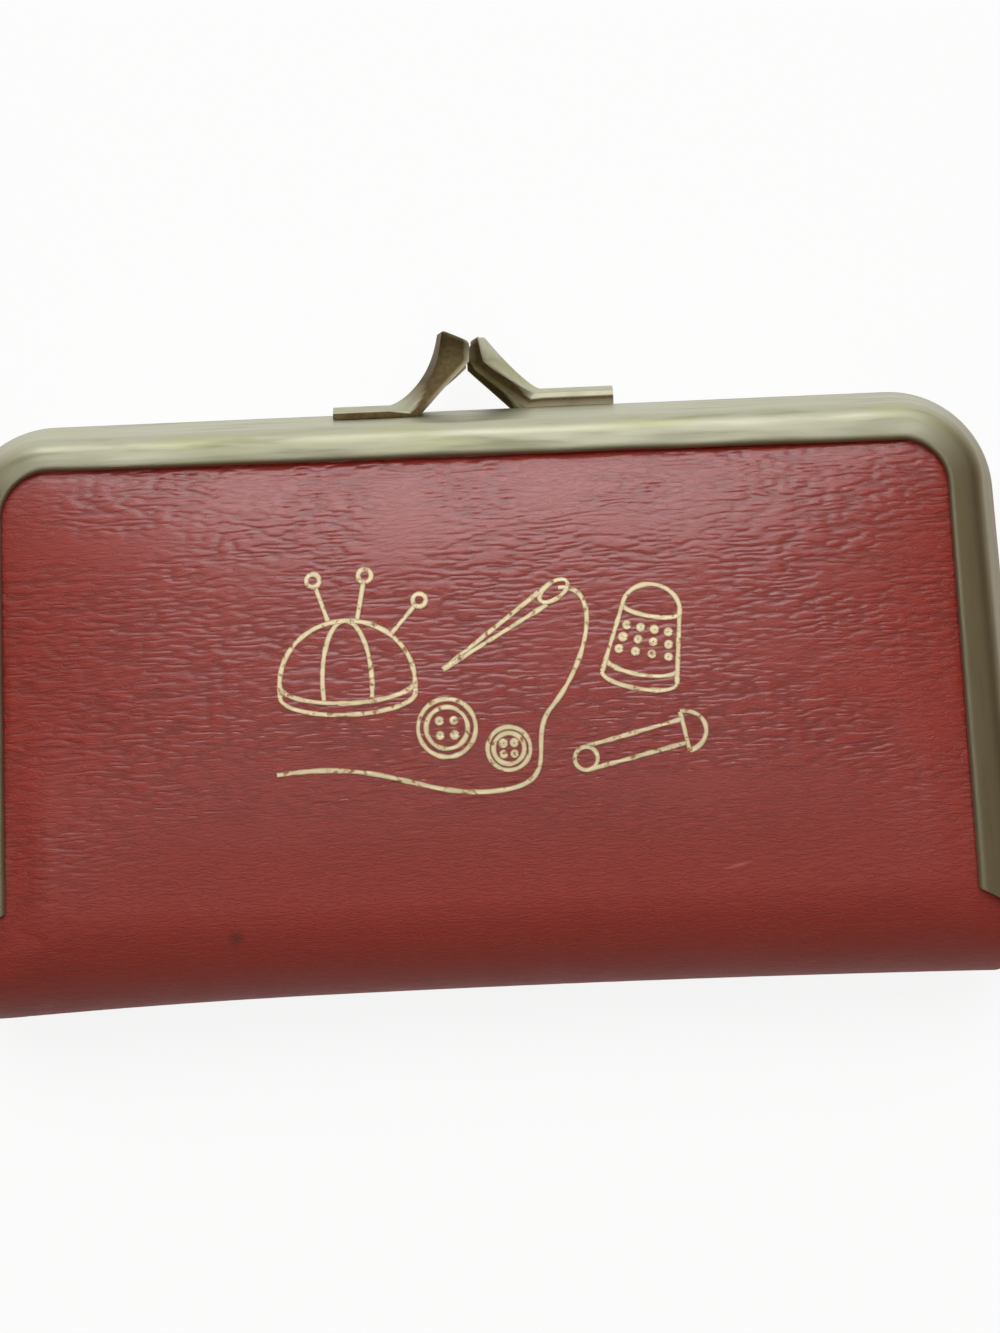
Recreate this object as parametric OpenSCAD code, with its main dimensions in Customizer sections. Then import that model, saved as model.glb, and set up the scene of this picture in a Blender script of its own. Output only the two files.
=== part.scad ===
// Travel sewing kit in a clamshell purse case: two padded leatherette covers in a brass
// snap frame, hinged at the spine, with linings, scissors, thread, thimble and notions inside.
// The case lies on its back cover: X runs along the spine, +Y towards the clasp and +Z up
// through the front cover. The origin is the middle of the face that it rests on.

/* [Case] */
// Width over the frame at the hinge
case_w = 134; // [126:1:150]
// Height from the spine to the top of the frame
case_h = 73; // [71:1:90]
// Depth of each half, from the closing line to the top of its lip
half_depth = 12.4; // [12:0.1:16]
// How much further out each arm stands at the hinge than at its corner
splay = 2; // [0.5:0.1:3]
// Outer corner radius of the frame at the closing line
corner_r = 13; // [11:0.5:18]

/* [Frame] */
// Thickness of the brass sheet
sheet_t = 0.7; // [0.5:0.05:0.8]
// How far the lip's edge lies inside the frame's widest outline
frame_reach = 7.4; // [6.8:0.1:8]
// How far the side wall leans in over its height
wall_lean = 2.6; // [1.8:0.1:2.8]
// Radius of the roll between side wall and lip
bead_r = 2.4; // [1.8:0.1:2.8]
// How far the lip falls from the roll to its inner edge
lip_drop = 0.8; // [0.3:0.05:1]
// Gap left between the two closed frame halves
closing_gap = 0.2; // [0.1:0.05:0.4]
// Distance that the outer corner of an arm's end reaches past the hinge axis
end_drop = 4.9; // [3.8:0.1:5]
// Length of the mitre across an arm's end
mitre = 3.6; // [1:0.1:4]

/* [Hinge] */
// Radius of the round ears at the hinge
ear_r = 3.4; // [3:0.1:3.8]
// Thickness of the back frame's ear
ear_t = 0.8; // [0.6:0.05:1]
// Radius of the hinge rivet's shank
rivet_r = 1.2; // [0.9:0.05:1.5]
// Radius of the rivet's domed head
rivet_head_r = 2.4; // [2:0.1:2.8]
// Height of a rivet's head
head_t = 0.8; // [0.5:0.05:0.9]
// Radial clearance between rivet and ear
rivet_clearance = 0.05; // [0.03:0.01:0.1]

/* [Covers] */
// Thickness of the leatherette
skin_t = 0.8; // [0.6:0.05:1]
// How far the padding lifts a cover's middle above its tucked edge
crown = 3.2; // [2.6:0.1:4]
// How far the spine stands above the covers' tucked edge
spine_crown = 1.2; // [0.8:0.1:1.6]
// How far the middle of the spine is drawn in
spine_hollow = 0.6; // [0:0.1:0.7]
// Thickness of the card board behind the padding
board_t = 1; // [0.8:0.1:1.4]
// Depth of the flat on the back cover, where the case rests
rest_cut = 0.5; // [0.3:0.05:0.6]

/* [Linings] */
// Thickness of a lining's floor
floor_t = 0.6; // [0.5:0.05:0.8]
// Thickness of a lining's wall
wall_t = 1; // [0.8:0.05:1.2]

/* [Clasp] */
// Distance between the outer ends of the two feet
clasp_l = 36; // [32:0.5:42]
// Length of the front arm's foot
front_foot_l = 7.3; // [5:0.1:9]
// Length of the back arm's foot
back_foot_l = 9.2; // [5:0.1:10]
// Height of the front arm's foot
front_foot_h = 1.5; // [1.2:0.1:2]
// Height of the back arm's foot
back_foot_h = 2.3; // [1.6:0.1:2.6]
// Width of a foot, across the closing line
foot_w = 4.6; // [4:0.1:5.2]
// Height of the clasp above the frame
clasp_h = 10; // [8.5:0.1:11]
// Distance of the front arm's tip from the middle
front_tip_x = 4.6; // [3:0.1:5.5]
// Distance of the back arm's tip from the middle
back_tip_x = 2; // [1.5:0.1:4]
// Width of an arm's head, across the closing line
head_w = 7.6; // [6:0.1:8]
// Thickness of an arm's flanges
flange_t = 0.8; // [0.6:0.05:1]

/* [Scissors] */
// Radius of a finger ring's hole
ring_hole_r = 6; // [5.5:0.1:6.2]
// Thickness of the finger rings' round wire
ring_t = 2.3; // [1.8:0.1:2.4]
// Length from the screw to the middle of a finger ring
handle_l = 30; // [27:0.5:31]
// Length from the screw to the tips
blade_l = 41; // [34:0.5:42]
// Thickness of a blade
blade_t = 1.2; // [1.2:0.05:1.4]
// Width of a blade at the screw
blade_w = 7; // [6:0.1:7.4]
// Radius of the scissors' screw
screw_r = 1.1; // [0.8:0.05:1.3]

/* [Thread] */
// Length of a spool
spool_l = 11.6; // [9:0.1:11.7]
// Radius of a spool's rims
spool_r = 5; // [4.4:0.1:5.2]
// Radius of a spool's barrel
barrel_r = 2.6; // [2.2:0.1:3]
// Radius of the wound thread
thread_r = 4.3; // [3.4:0.1:4.3]
// Radius of the steel rod that the spools turn on
rod_r = 1; // [0.8:0.05:1.2]

/* [Notions] */
// Largest radius of the thimble
thimble_r = 7.6; // [7:0.1:7.8]
// Length of the thimble
thimble_l = 20; // [17:0.5:21]
// Width of the felt needle pad
pad_w = 40; // [34:1:42]
// Height of the felt needle pad
pad_h = 34; // [28:1:36]
// Length of a needle
needle_l = 34; // [30:1:34]
// Radius of a shirt button
button_r = 5; // [4.5:0.1:5.2]
// Length of a safety pin
pin_l = 24; // [20:1:26]

/* [Hidden] */
$fn = 64;

brass = "#CFC08A";
steel = "#C9CCCE";
red_leatherette = "#8A302B";
satin = "#D6C397";
card = "#B79B73";
elastic = "#2B2A2D";

// Clearances: between pieces that touch, between loose pieces, and between turning blades.
fit_gap = 0.1;
seat_gap = 0.3;
slip_gap = 0.05;

// Heights above the closing plane. The back half mirrors the front half.
edge_h = half_depth - sheet_t - lip_drop - fit_gap;
board_top = edge_h - skin_t - fit_gap;
lining_top = board_top - board_t - fit_gap;
lining_floor = lining_top - floor_t;
mid_z = edge_h + crown - rest_cut;
floor_z = mid_z - lining_floor;

// The outline: the arms splay from the corner circles' centres down to the hinge.
half_w = case_w / 2;
top_y = case_h / 2;
hinge_y = -top_y + edge_h + spine_crown;
corner_y = top_y - corner_r;
splay_angle = atan(splay / (corner_y - hinge_y));
corner_x = half_w - (corner_r + (corner_y - hinge_y) * sin(splay_angle)) / cos(splay_angle);
function side_x(y, inset) = corner_x
    + (corner_r - inset - (y - corner_y) * sin(splay_angle)) / cos(splay_angle);

// Insets from the widest outline, from the wall inwards.
wall_top = half_depth - bead_r;
lean_slope = wall_lean / wall_top;
ear_inset = sheet_t + lean_slope * ear_r + seat_gap;
rivet_inset = ear_inset + ear_t + slip_gap + head_t;
lining_inset = rivet_inset + seat_gap;
cover_inset = wall_lean + bead_r - sqrt(pow(bead_r - sheet_t, 2) - pow(edge_h - wall_top, 2)) + fit_gap;
lining_y0 = hinge_y + 2;

function clamp(t) = min(1, max(0, t));
function smooth(t) = t * t * (3 - 2 * t);

// Frame

// The frame's section as [minus inset, height]: wall, roll, falling lip with a round edge.
fall_w = frame_reach - wall_lean - bead_r;
function roll(r) = [for (i = [0 : 7])
    let (a = 90 * i / 7) [-(wall_lean + bead_r) + r * cos(a), wall_top + r * sin(a)]];
function fall(depth) = [for (i = [1 : 4])
    [-(wall_lean + bead_r) - fall_w * i / 4, half_depth - depth - lip_drop * pow(i / 4, 2)]];
function reversed(list) = [for (i = [len(list) - 1 : -1 : 0]) list[i]];
frame_profile = concat(
    [[0, closing_gap / 2]], roll(bead_r), fall(0),
    [[-frame_reach - sheet_t * 0.4, half_depth - lip_drop - sheet_t / 2]],
    reversed(fall(sheet_t)), reversed(roll(bead_r - sheet_t)), [[-sheet_t, closing_gap / 2]]
);

// The section's path: up the right arm, round both corners and down the left arm. Each station
// is the centre that its outline turns about and the angle at which the section stands.
arm_l = (corner_y + corner_r * sin(splay_angle) - hinge_y + end_drop) / cos(splay_angle) + 1;
corner_steps = 12;
function arm_end(side) =
    [side * (corner_x + arm_l * sin(splay_angle)), corner_y - arm_l * cos(splay_angle)];
frame_path = concat(
    [[arm_end(1), splay_angle]],
    [for (i = [0 : corner_steps])
        [[corner_x, corner_y], splay_angle + (90 - splay_angle) * i / corner_steps]],
    [for (i = [0 : corner_steps]) [[-corner_x, corner_y], 90 + (90 - splay_angle) * i / corner_steps]],
    [[arm_end(-1), 180 - splay_angle]]
);

// The rolled channel, as its section carried along the path.
module frame_bar() {
    n = len(frame_profile);
    last = len(frame_path) - 1;
    polyhedron([for (s = frame_path) for (p = frame_profile)
        let (r = corner_r + p[0]) [s[0][0] + r * cos(s[1]), s[0][1] + r * sin(s[1]), p[1]]
    ], concat(
        [for (k = [0 : last - 1]) for (i = [0 : n - 1])
            let (a = k * n + i, b = k * n + (i + 1) % n) each [[a, b, a + n], [b, b + n, a + n]]],
        [[for (i = [n - 1 : -1 : 0]) i], [for (i = [0 : n - 1]) last * n + i]]
    ), convexity = 8);
}

// What is cut from the right arm's end: a mitre across the lip, the side wall on a line from the
// hinge axis, so that the halves turn past each other, and room for the rivet or the other ear.
module arm_end_cut(notch_r) {
    translate([half_w, hinge_y - end_drop, -1]) linear_extrude(half_depth + 2)
        polygon([[-frame_reach - 1, -3], [2, -3], [2, 0], [-wall_lean, 0], [-frame_reach - 1, mitre]]);
    translate([half_w - frame_reach - 1, hinge_y, 0]) rotate([90, 0, 90])
        linear_extrude(frame_reach + 3)
        polygon([[-end_drop - 3, -1], [0, -1], [0, 0], [-end_drop, wall_top], [-end_drop - 3, wall_top]]);
    translate([half_w - frame_reach, hinge_y, 0]) rotate([0, 90, 0])
        cylinder(r = notch_r, h = frame_reach + 1);
}

// The front ear lies in the wall's own layer. The back ear is set in by one layer on a strap.
module front_ear() {
    translate([half_w - sheet_t, hinge_y, 0]) rotate([0, 90, 0]) difference() {
        cylinder(r = ear_r, h = sheet_t);
        translate([0, 0, -1]) cylinder(r = rivet_r + rivet_clearance, h = sheet_t + 2);
    }
}
module back_ear() {
    strap_h = (ear_inset + ear_t - sheet_t) / lean_slope + 1;
    translate([half_w - ear_inset - ear_t, hinge_y, 0]) rotate([90, 0, 90]) linear_extrude(ear_t)
        difference() {
            union() {
                circle(r = ear_r);
                translate([-ear_r / 2, 0]) square([1.5 * ear_r, strap_h]);
            }
            circle(r = rivet_r + rivet_clearance);
        }
}

module frame_half(is_front) {
    difference() {
        frame_bar();
        for (side = [0, 1]) mirror([side, 0, 0])
            arm_end_cut(is_front ? rivet_r + seat_gap : ear_r + seat_gap);
    }
    for (side = [0, 1]) mirror([side, 0, 0]) if (is_front) front_ear(); else back_ear();
}

module in_front() { translate([0, 0, mid_z]) children(); }
module in_back() { translate([0, 0, mid_z]) mirror([0, 0, 1]) children(); }

module front_frame() { color(brass) in_front() frame_half(true); }
module back_frame() { color(brass) in_back() frame_half(false); }

// A rivet joins both ears, with a domed head outside and a flat one peened inside.
module hinge_rivet() {
    dome_r = (rivet_head_r * rivet_head_r + head_t * head_t) / (2 * head_t);
    outer_x = half_w + slip_gap;
    inner_x = half_w - rivet_inset;
    translate([0, hinge_y, mid_z]) rotate([0, 90, 0]) {
        translate([0, 0, inner_x]) cylinder(r = rivet_head_r - 0.4, h = head_t);
        translate([0, 0, inner_x]) cylinder(r = rivet_r, h = outer_x - inner_x + head_t / 2);
        translate([0, 0, outer_x]) rotate_extrude() intersection() {
            translate([0, head_t - dome_r]) circle(r = dome_r);
            square([rivet_head_r, head_t]);
        }
    }
}
module right_hinge_rivet() { color(brass) hinge_rivet(); }
module left_hinge_rivet() { color(brass) mirror([1, 0, 0]) hinge_rivet(); }

// Clasp arms

// A point of a curve through four control points, at t from 0 to 1.
function bezier(p, t) = pow(1 - t, 3) * p[0] + 3 * pow(1 - t, 2) * t * p[1]
    + 3 * (1 - t) * t * t * p[2] + t * t * t * p[3];

// One station of an arm: a creased section between the ridge point and the flanges' edge.
// It leans with the frame's wall at the foot, and spreads over both halves at the head.
function station(ridge, edge, mid, w, thick, lean) =
    let (u = (edge - ridge) / norm(edge - ridge), inner = ridge + thick * u, rim = edge - flange_t * u)
    [for (p = [[ridge, 0], [rim, w], [edge, w], [inner, 0], [edge, -w], [rim, -w]])
        let (h = mid + p[1]) [p[0][0], top_y + p[0][1] - lean * lean_slope * h, h]];

arm_steps = 12;
foot_mid = closing_gap / 2 + fit_gap + foot_w / 2;

// The arm rises from its foot on two curves, the outer ridge and the inner edge.
module clasp_arm(foot_l, foot_h, tip_x) {
    x0 = -clasp_l / 2;
    x1 = x0 + foot_l;
    head_gap = seat_gap / 2;
    foot_thick = foot_h - fit_gap - 0.1;
    ridge = [[x1, foot_h], [x1 + 1.8, foot_h + 0.2], [-tip_x - 1.4, clasp_h * 0.62], [-tip_x, clasp_h]];
    edge = [[x1 + 2.2, fit_gap], [x1 + 5, clasp_h * 0.1], [-head_gap - 1.5, clasp_h * 0.4],
            [-head_gap, clasp_h * 0.87]];
    ends = [for (x = [x0, x1 - 0.1])
        station([x, foot_h], [x, fit_gap], foot_mid, foot_w / 2, foot_thick, 1)];
    rise = [for (i = [0 : arm_steps]) let (t = i / arm_steps)
        station(bezier(ridge, t), bezier(edge, t), foot_mid * (1 - smooth(t)),
                foot_w / 2 + (head_w - foot_w) / 2 * pow(t, 1.5),
                foot_thick + (flange_t * 1.2 - foot_thick) * smooth(min(1, t * 3)), 1 - smooth(t))];
    rows = concat(ends, rise);
    last = len(rows) - 1;
    polyhedron([for (row = rows) each row], concat(
        [for (k = [0 : last - 1]) for (i = [0 : 5])
            let (a = 6 * k + i, b = 6 * k + (i + 1) % 6) each [[a, a + 6, b], [b, a + 6, b + 6]]],
        [[0, 1, 3], [1, 2, 3], [0, 3, 5], [3, 4, 5]],
        [for (f = [[3, 1, 0], [3, 2, 1], [5, 3, 0], [5, 4, 3]]) [for (i = f) i + 6 * last]]
    ), convexity = 6);
}
module front_clasp_arm() { color(brass) in_front() clasp_arm(front_foot_l, front_foot_h, front_tip_x); }
module back_clasp_arm() {
    color(brass) in_back() mirror([1, 0, 0]) clasp_arm(back_foot_l, back_foot_h, back_tip_x);
}

// Covers

function span(a, b, n) = [for (i = [0 : n - 1]) a + (b - a) * i / n];
function arc(side, r, a0, a1, n) = [for (i = [0 : n - 1]) let (a = a0 + (a1 - a0) * i / n)
    [side * corner_x + r * cos(a), corner_y + r * sin(a)]];

// Outline of a panel that lies inside the frame by an inset and starts at y0, turning left.
function panel_outline(inset, y0) = let (
    r = corner_r - inset, x0 = side_x(y0, inset), y1 = corner_y + r * sin(splay_angle),
    side = [for (y = span(y0, y1, 6)) [side_x(y, inset), y]])
    concat(
        [for (x = span(-x0, x0, 16)) [x, y0]], side,
        arc(1, r, splay_angle, 90, 6),
        [for (x = span(corner_x, -corner_x, 12)) [x, corner_y + r]],
        arc(-1, r, 90, 180 - splay_angle, 6),
        [for (i = [6 : -1 : 1]) let (p = i == 6 ? [side_x(y1, inset), y1] : side[i]) [-p[0], p[1]]]
    );

// Height of a cover: full in the middle, down to the tucked edge at the lips, and down to the
// spine's height at the hinge.
crown_y1 = top_y - frame_reach - seat_gap;
crown_mid = (hinge_y + crown_y1) / 2;
function across(x, y) = 1 - pow(clamp(abs(x) / side_x(y, frame_reach + seat_gap)), 4);
function spine_rise(x) = across(x, hinge_y)
    * (spine_crown - spine_hollow * (1 - pow(clamp(abs(x) / half_w), 2)));
function crown_h(x, y) = let (t = (y - crown_mid) / (crown_y1 - crown_mid))
    t > 0 ? edge_h + crown * across(x, y) * (1 - pow(clamp(t), 4))
    : let (k = smooth(clamp(1 + t))) edge_h + k * crown * across(x, y) + (1 - k) * spine_rise(x);

// A crowned slab over rings of its outline, listed from the rim inwards. The functions top and
// under turn the cover's height at a point into the heights of the slab's two faces.
module crowned(rings, mid_y, top, under) {
    n = len(rings[0]);
    last = len(rings) - 1;
    pts = concat([for (ring = rings) each ring], [[0, mid_y]]);
    m = len(pts);
    faces = concat(
        [for (k = [0 : last - 1]) for (i = [0 : n - 1])
            let (a = k * n + i, b = k * n + (i + 1) % n) each [[a, a + n, b], [b, a + n, b + n]]],
        [for (i = [0 : n - 1]) [last * n + i, m - 1, last * n + (i + 1) % n]]);
    polyhedron(concat(
        [for (p = pts) [p[0], p[1], top(crown_h(p[0], p[1]))]],
        [for (p = pts) [p[0], p[1], under(crown_h(p[0], p[1]))]]
    ), concat(
        faces, [for (f = faces) [f[2] + m, f[1] + m, f[0] + m]],
        [for (i = [0 : n - 1]) let (j = (i + 1) % n) each [[i, j, m + i], [j, m + j, m + i]]]
    ), convexity = 4);
}

// Rings that skin and padding share: the first runs beside the lips, the rest are drawn in.
cover_y0 = hinge_y + slip_gap;
lip_ring = panel_outline(frame_reach + seat_gap, cover_y0 + 1.5);
crown_rings = [for (k = [1, 0.94, 0.84, 0.7, 0.52, 0.3])
    [for (p = lip_ring) [p[0] * k, crown_mid + (p[1] - crown_mid) * k]]];

// The leatherette runs out to its tucked edge under the lips. Its inner face stops at a cap.
module cover_skin(cap) {
    crowned(concat([panel_outline(cover_inset, cover_y0)], crown_rings), crown_mid,
        function (h) h, function (h) min(cap, h) - skin_t);
}
module front_cover() { color(red_leatherette) in_front() cover_skin(edge_h + crown); }

// The back cover is pressed flat where the case lies on it.
module back_cover() {
    color(red_leatherette) difference() {
        in_back() cover_skin(mid_z);
        translate([-case_w, -case_h, -half_depth]) cube([2 * case_w, 2 * case_h, half_depth]);
    }
}

// Padding fills the crown between skin and board.
module padding(cap) {
    crowned([for (k = [1 : len(crown_rings) - 1]) crown_rings[k]], crown_mid,
        function (h) min(cap, h) - skin_t - fit_gap, function (h) board_top + fit_gap / 2);
}
module front_padding() { color("#E8E3D6") in_front() padding(edge_h + crown); }
module back_padding() { color("#E8E3D6") in_back() padding(mid_z); }

// A flat panel with two round corners, as one outline with true arcs.
module panel_2d(inset, y0) {
    r = max(1, corner_r - inset);
    top = corner_y + r;
    x0 = side_x(y0, inset);
    x1 = corner_x + r * cos(splay_angle);
    y1 = corner_y + r * sin(splay_angle);
    polygon([[-x0, y0], [x0, y0], [x1, y1], [corner_x, top], [-corner_x, top], [-x1, y1]]);
    for (side = [-1, 1]) translate([side * corner_x, corner_y]) circle(r = r);
}

module board() {
    translate([0, 0, board_top - board_t]) linear_extrude(board_t)
        panel_2d(cover_inset + fit_gap, hinge_y + seat_gap);
}
module front_board() { color(card) in_front() board(); }
module back_board() { color(card) in_back() board(); }

// Spine: a half round of leatherette about the hinge axis, with turned-in ends.
spine_hw = half_w - sheet_t - wall_lean - seat_gap;
end_r = ear_r + 1.6;
tuck = 1.8;

module about_hinge(profile) {
    translate([0, hinge_y, mid_z]) mirror([0, 1, 0]) rotate([0, 90, 0])
        rotate_extrude(angle = 180) polygon([for (p = profile) [p[1], p[0]]]);
}
function spine_line(hw, depth) = [for (i = [-10 : 10]) let (x = hw * i / 10)
    [x, edge_h + spine_rise(x) - depth]];
module spine_cover() {
    shoulder = spine_hw - tuck / 2;
    color(red_leatherette) about_hinge(concat(
        [[-spine_hw, end_r], [-spine_hw, edge_h - tuck]], spine_line(shoulder, 0),
        [[spine_hw, edge_h - tuck], [spine_hw, end_r]],
        [[spine_hw - skin_t, end_r], [spine_hw - skin_t, edge_h - tuck - skin_t / 2]],
        reversed(spine_line(shoulder - skin_t / 2, skin_t)),
        [[-spine_hw + skin_t, edge_h - tuck - skin_t / 2], [-spine_hw + skin_t, end_r]]));
}
module spine_lining() {
    hw = half_w - lining_inset - wall_t;
    depth = skin_t + seat_gap;
    color(satin) about_hinge(concat(spine_line(hw, depth), reversed(spine_line(hw, depth + floor_t))));
}

// Linings: satin over card, a floor and a wall that reaches the closing line.
module lining() {
    h0 = closing_gap;
    difference() {
        translate([0, 0, h0]) linear_extrude(lining_top - h0) panel_2d(lining_inset, lining_y0);
        translate([0, 0, h0 - 1]) linear_extrude(lining_floor - h0 + 1)
            panel_2d(lining_inset + wall_t, lining_y0 + wall_t);
    }
}
module front_lining() { color(satin) in_front() lining(); }
module back_lining() { color(satin) in_back() lining(); }

// Room inside the linings, for placing what they hold.
room_x = side_x(corner_y, lining_inset + wall_t);
room_y0 = lining_y0 + wall_t;
room_y1 = top_y - lining_inset - wall_t;
room_mid = (room_y0 + room_y1) / 2;

// Scissors: two blades on a screw, closed, with the rings to the left.
ring_r = ring_hole_r + ring_t / 2;
ring_out = ring_hole_r + ring_t;
ring_y = ring_out + seat_gap / 2;
scissors_x = -room_x + ring_out + handle_l + 1;
scissors_y = room_mid - 4.5;
scissors_z = floor_z + fit_gap;

// One half of the scissors as seen with its ring above the axis: blade, shank and ring.
module scissors_half(level) {
    w = blade_w / 2;
    difference() {
        union() {
            translate([0, 0, level]) linear_extrude(blade_t) {
                polygon([[blade_l, -0.2], [blade_l * 0.8, -1.5], [blade_l * 0.5, -w * 0.75], [w, -w],
                         [-w, -w * 0.8], [-w, w], [w, w * 0.7], [blade_l * 0.4, w * 0.25],
                         [blade_l * 0.97, 0.3]]);
                polygon([[w, -w], [w, w * 0.7], [0, w], [-handle_l * 0.42, w * 1.1],
                         [-handle_l + ring_r * 0.6, ring_y + ring_r * 0.8],
                         [-handle_l + ring_r, ring_y - ring_r * 0.1],
                         [-handle_l + ring_r * 0.9, ring_y - ring_r * 0.5],
                         [-handle_l * 0.45, -w * 0.1], [-w, -w * 0.8]]);
            }
            translate([-handle_l, ring_y, blade_t + slip_gap / 2])
                rotate_extrude() translate([ring_r, 0]) circle(r = ring_t / 2);
        }
        translate([-handle_l, ring_y, -1]) cylinder(r = ring_hole_r, h = 2 * blade_t + 3);
        translate([0, 0, -1]) cylinder(r = screw_r + slip_gap, h = 2 * blade_t + 3);
    }
}
module at_scissors() { translate([scissors_x, scissors_y, scissors_z]) children(); }

module scissors_upper_blade() { color(steel) at_scissors() scissors_half(blade_t + slip_gap); }
module scissors_lower_blade() {
    color(steel) at_scissors() mirror([0, 1, 0]) scissors_half(0);
}
module scissors_screw() {
    top = 2 * blade_t + 2 * slip_gap;
    color(brass) at_scissors() difference() {
        union() {
            cylinder(r = screw_r, h = top + head_t / 2);
            translate([0, 0, top]) cylinder(r = 2 * screw_r, h = head_t);
        }
        translate([-2 * screw_r - 1, -0.25, top + head_t * 0.6]) cube([4 * screw_r + 2, 0.5, head_t]);
    }
}

// An elastic loop over the lower blade's ring, sewn to the lining on both sides of it.
strap_t = 0.5;
strap_w = 4;
module scissors_strap() {
    outer_x = -ring_out - seat_gap;
    inner_x = -sqrt(pow(ring_hole_r, 2) - pow(strap_w / 2, 2)) + seat_gap;
    room_h = scissors_z - floor_z + blade_t + slip_gap / 2 + ring_t / 2 + seat_gap;
    color(elastic)
        translate([scissors_x - handle_l, scissors_y - ring_y + strap_w / 2, floor_z])
        rotate([90, 0, 0]) linear_extrude(strap_w) difference() {
            translate([outer_x - strap_t, 0]) square([inner_x - outer_x + 2 * strap_t, room_h + strap_t]);
            translate([outer_x, -1]) square([inner_x - outer_x, room_h + 1]);
        }
}

// Thread: a rack of spools that turn on one steel rod, held in two small brackets.
spool_gap = 0.4;
bracket_t = 1.2;
rack_l = 4 * spool_l + 5 * spool_gap;
rack_x = scissors_x + blade_l + 4 + spool_r;
rack_y = room_mid - rack_l / 2;
rack_z = floor_z + seat_gap + spool_r;

module along_rack(y) { translate([rack_x, y, rack_z]) rotate([-90, 0, 0]) children(); }
function spool_y(i) = rack_y + spool_gap + i * (spool_l + spool_gap);

module thread_rod() {
    color(steel) along_rack(rack_y - bracket_t - 0.5) cylinder(r = rod_r, h = rack_l + 2 * bracket_t + 1);
}
module rod_brackets() {
    w = 2 * rod_r + 3;
    color(brass) for (y = [rack_y - bracket_t, rack_y + rack_l])
        difference() {
            translate([rack_x - w / 2, y, floor_z]) {
                cube([w, bracket_t, rack_z - floor_z]);
                translate([w / 2, 0, rack_z - floor_z]) rotate([-90, 0, 0])
                    cylinder(r = w / 2, h = bracket_t);
            }
            along_rack(y - 1) cylinder(r = rod_r + slip_gap, h = bracket_t + 2);
        }
}

rim_t = 1.3;
module spool(i) {
    bore = rod_r + 0.08;
    color("#C79A5B") along_rack(spool_y(i)) rotate_extrude()
        polygon([[bore, 0], [spool_r - 0.4, 0], [spool_r, 0.4], [spool_r, rim_t - 0.3],
                 [barrel_r, rim_t + 0.6], [barrel_r, spool_l - rim_t - 0.6],
                 [spool_r, spool_l - rim_t + 0.3], [spool_r, spool_l - 0.4],
                 [spool_r - 0.4, spool_l], [bore, spool_l]]);
}
// Wound thread fills the space between the rims and bulges a little in the middle.
module thread(i, shade) {
    l = spool_l - 2 * rim_t - 1.4;
    color(shade) along_rack(spool_y(i) + rim_t + 0.7) rotate_extrude()
        polygon([[barrel_r + slip_gap, 0], [thread_r - 0.9, 0], [thread_r - 0.2, l * 0.12],
                 [thread_r, l * 0.35], [thread_r, l * 0.65], [thread_r - 0.2, l * 0.88],
                 [thread_r - 0.9, l], [barrel_r + slip_gap, l]]);
}
module spool_1() { spool(0); }
module spool_2() { spool(1); }
module spool_3() { spool(2); }
module spool_4() { spool(3); }
module thread_1() { thread(0, "#F2EFE6"); }
module thread_2() { thread(1, "#1E1E20"); }
module thread_3() { thread(2, "#2E4A78"); }
module thread_4() { thread(3, "#7B2430"); }

// Thimble: a drawn cup with a rolled rim, lying on its side with its mouth towards the spine.
thimble_x = rack_x + spool_r + 3 + thimble_r;
thimble_y = room_y0 + 4;
thimble_z = floor_z + thimble_r + slip_gap;
thimble_wall = 0.6;
thimble_end_r = thimble_r - 1.8;

module thimble() {
    t = thimble_wall;
    color(steel) translate([thimble_x, thimble_y, thimble_z]) rotate([-90, 0, 0]) rotate_extrude()
        polygon([[thimble_r - t - 0.3, 0], [thimble_r, 0], [thimble_r, 1], [thimble_r - 0.4, 1.4],
                 [thimble_end_r, thimble_l - 2.5], [thimble_end_r - 0.9, thimble_l - 0.8],
                 [thimble_end_r - 2.6, thimble_l], [0, thimble_l],
                 [0, thimble_l - t], [thimble_end_r - 2.6 - t / 3, thimble_l - t],
                 [thimble_end_r - 0.7 - t, thimble_l - 0.8 - t], [thimble_end_r - t, thimble_l - 2.7],
                 [thimble_r - 0.4 - t, 1.4]]);
}

// An elastic loop round the thimble, sewn down on both sides.
module thimble_loop() {
    loop_w = 6;
    r = thimble_r - 0.9 + seat_gap;
    t = strap_t;
    color(elastic) translate([thimble_x, thimble_y + thimble_l / 2 + loop_w / 2, floor_z])
        rotate([90, 0, 0]) linear_extrude(loop_w) difference() {
            union() {
                translate([0, thimble_r + slip_gap]) circle(r = r + t);
                translate([-r - t, 0]) square([2 * (r + t), thimble_r + slip_gap]);
            }
            translate([0, thimble_r + slip_gap]) circle(r = r);
            translate([-r, -2]) square([2 * r, thimble_r + slip_gap + 2]);
        }
}

// Notions on the lid's lining. Heights are measured down from that lining's face.
module on_lid(x, y, drop) { translate([x, y, mid_z + lining_floor - drop]) children(); }

felt_t = 1.2;
felt_x = -room_x + 4 + pad_w / 2;
needle_r = 0.35;
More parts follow.
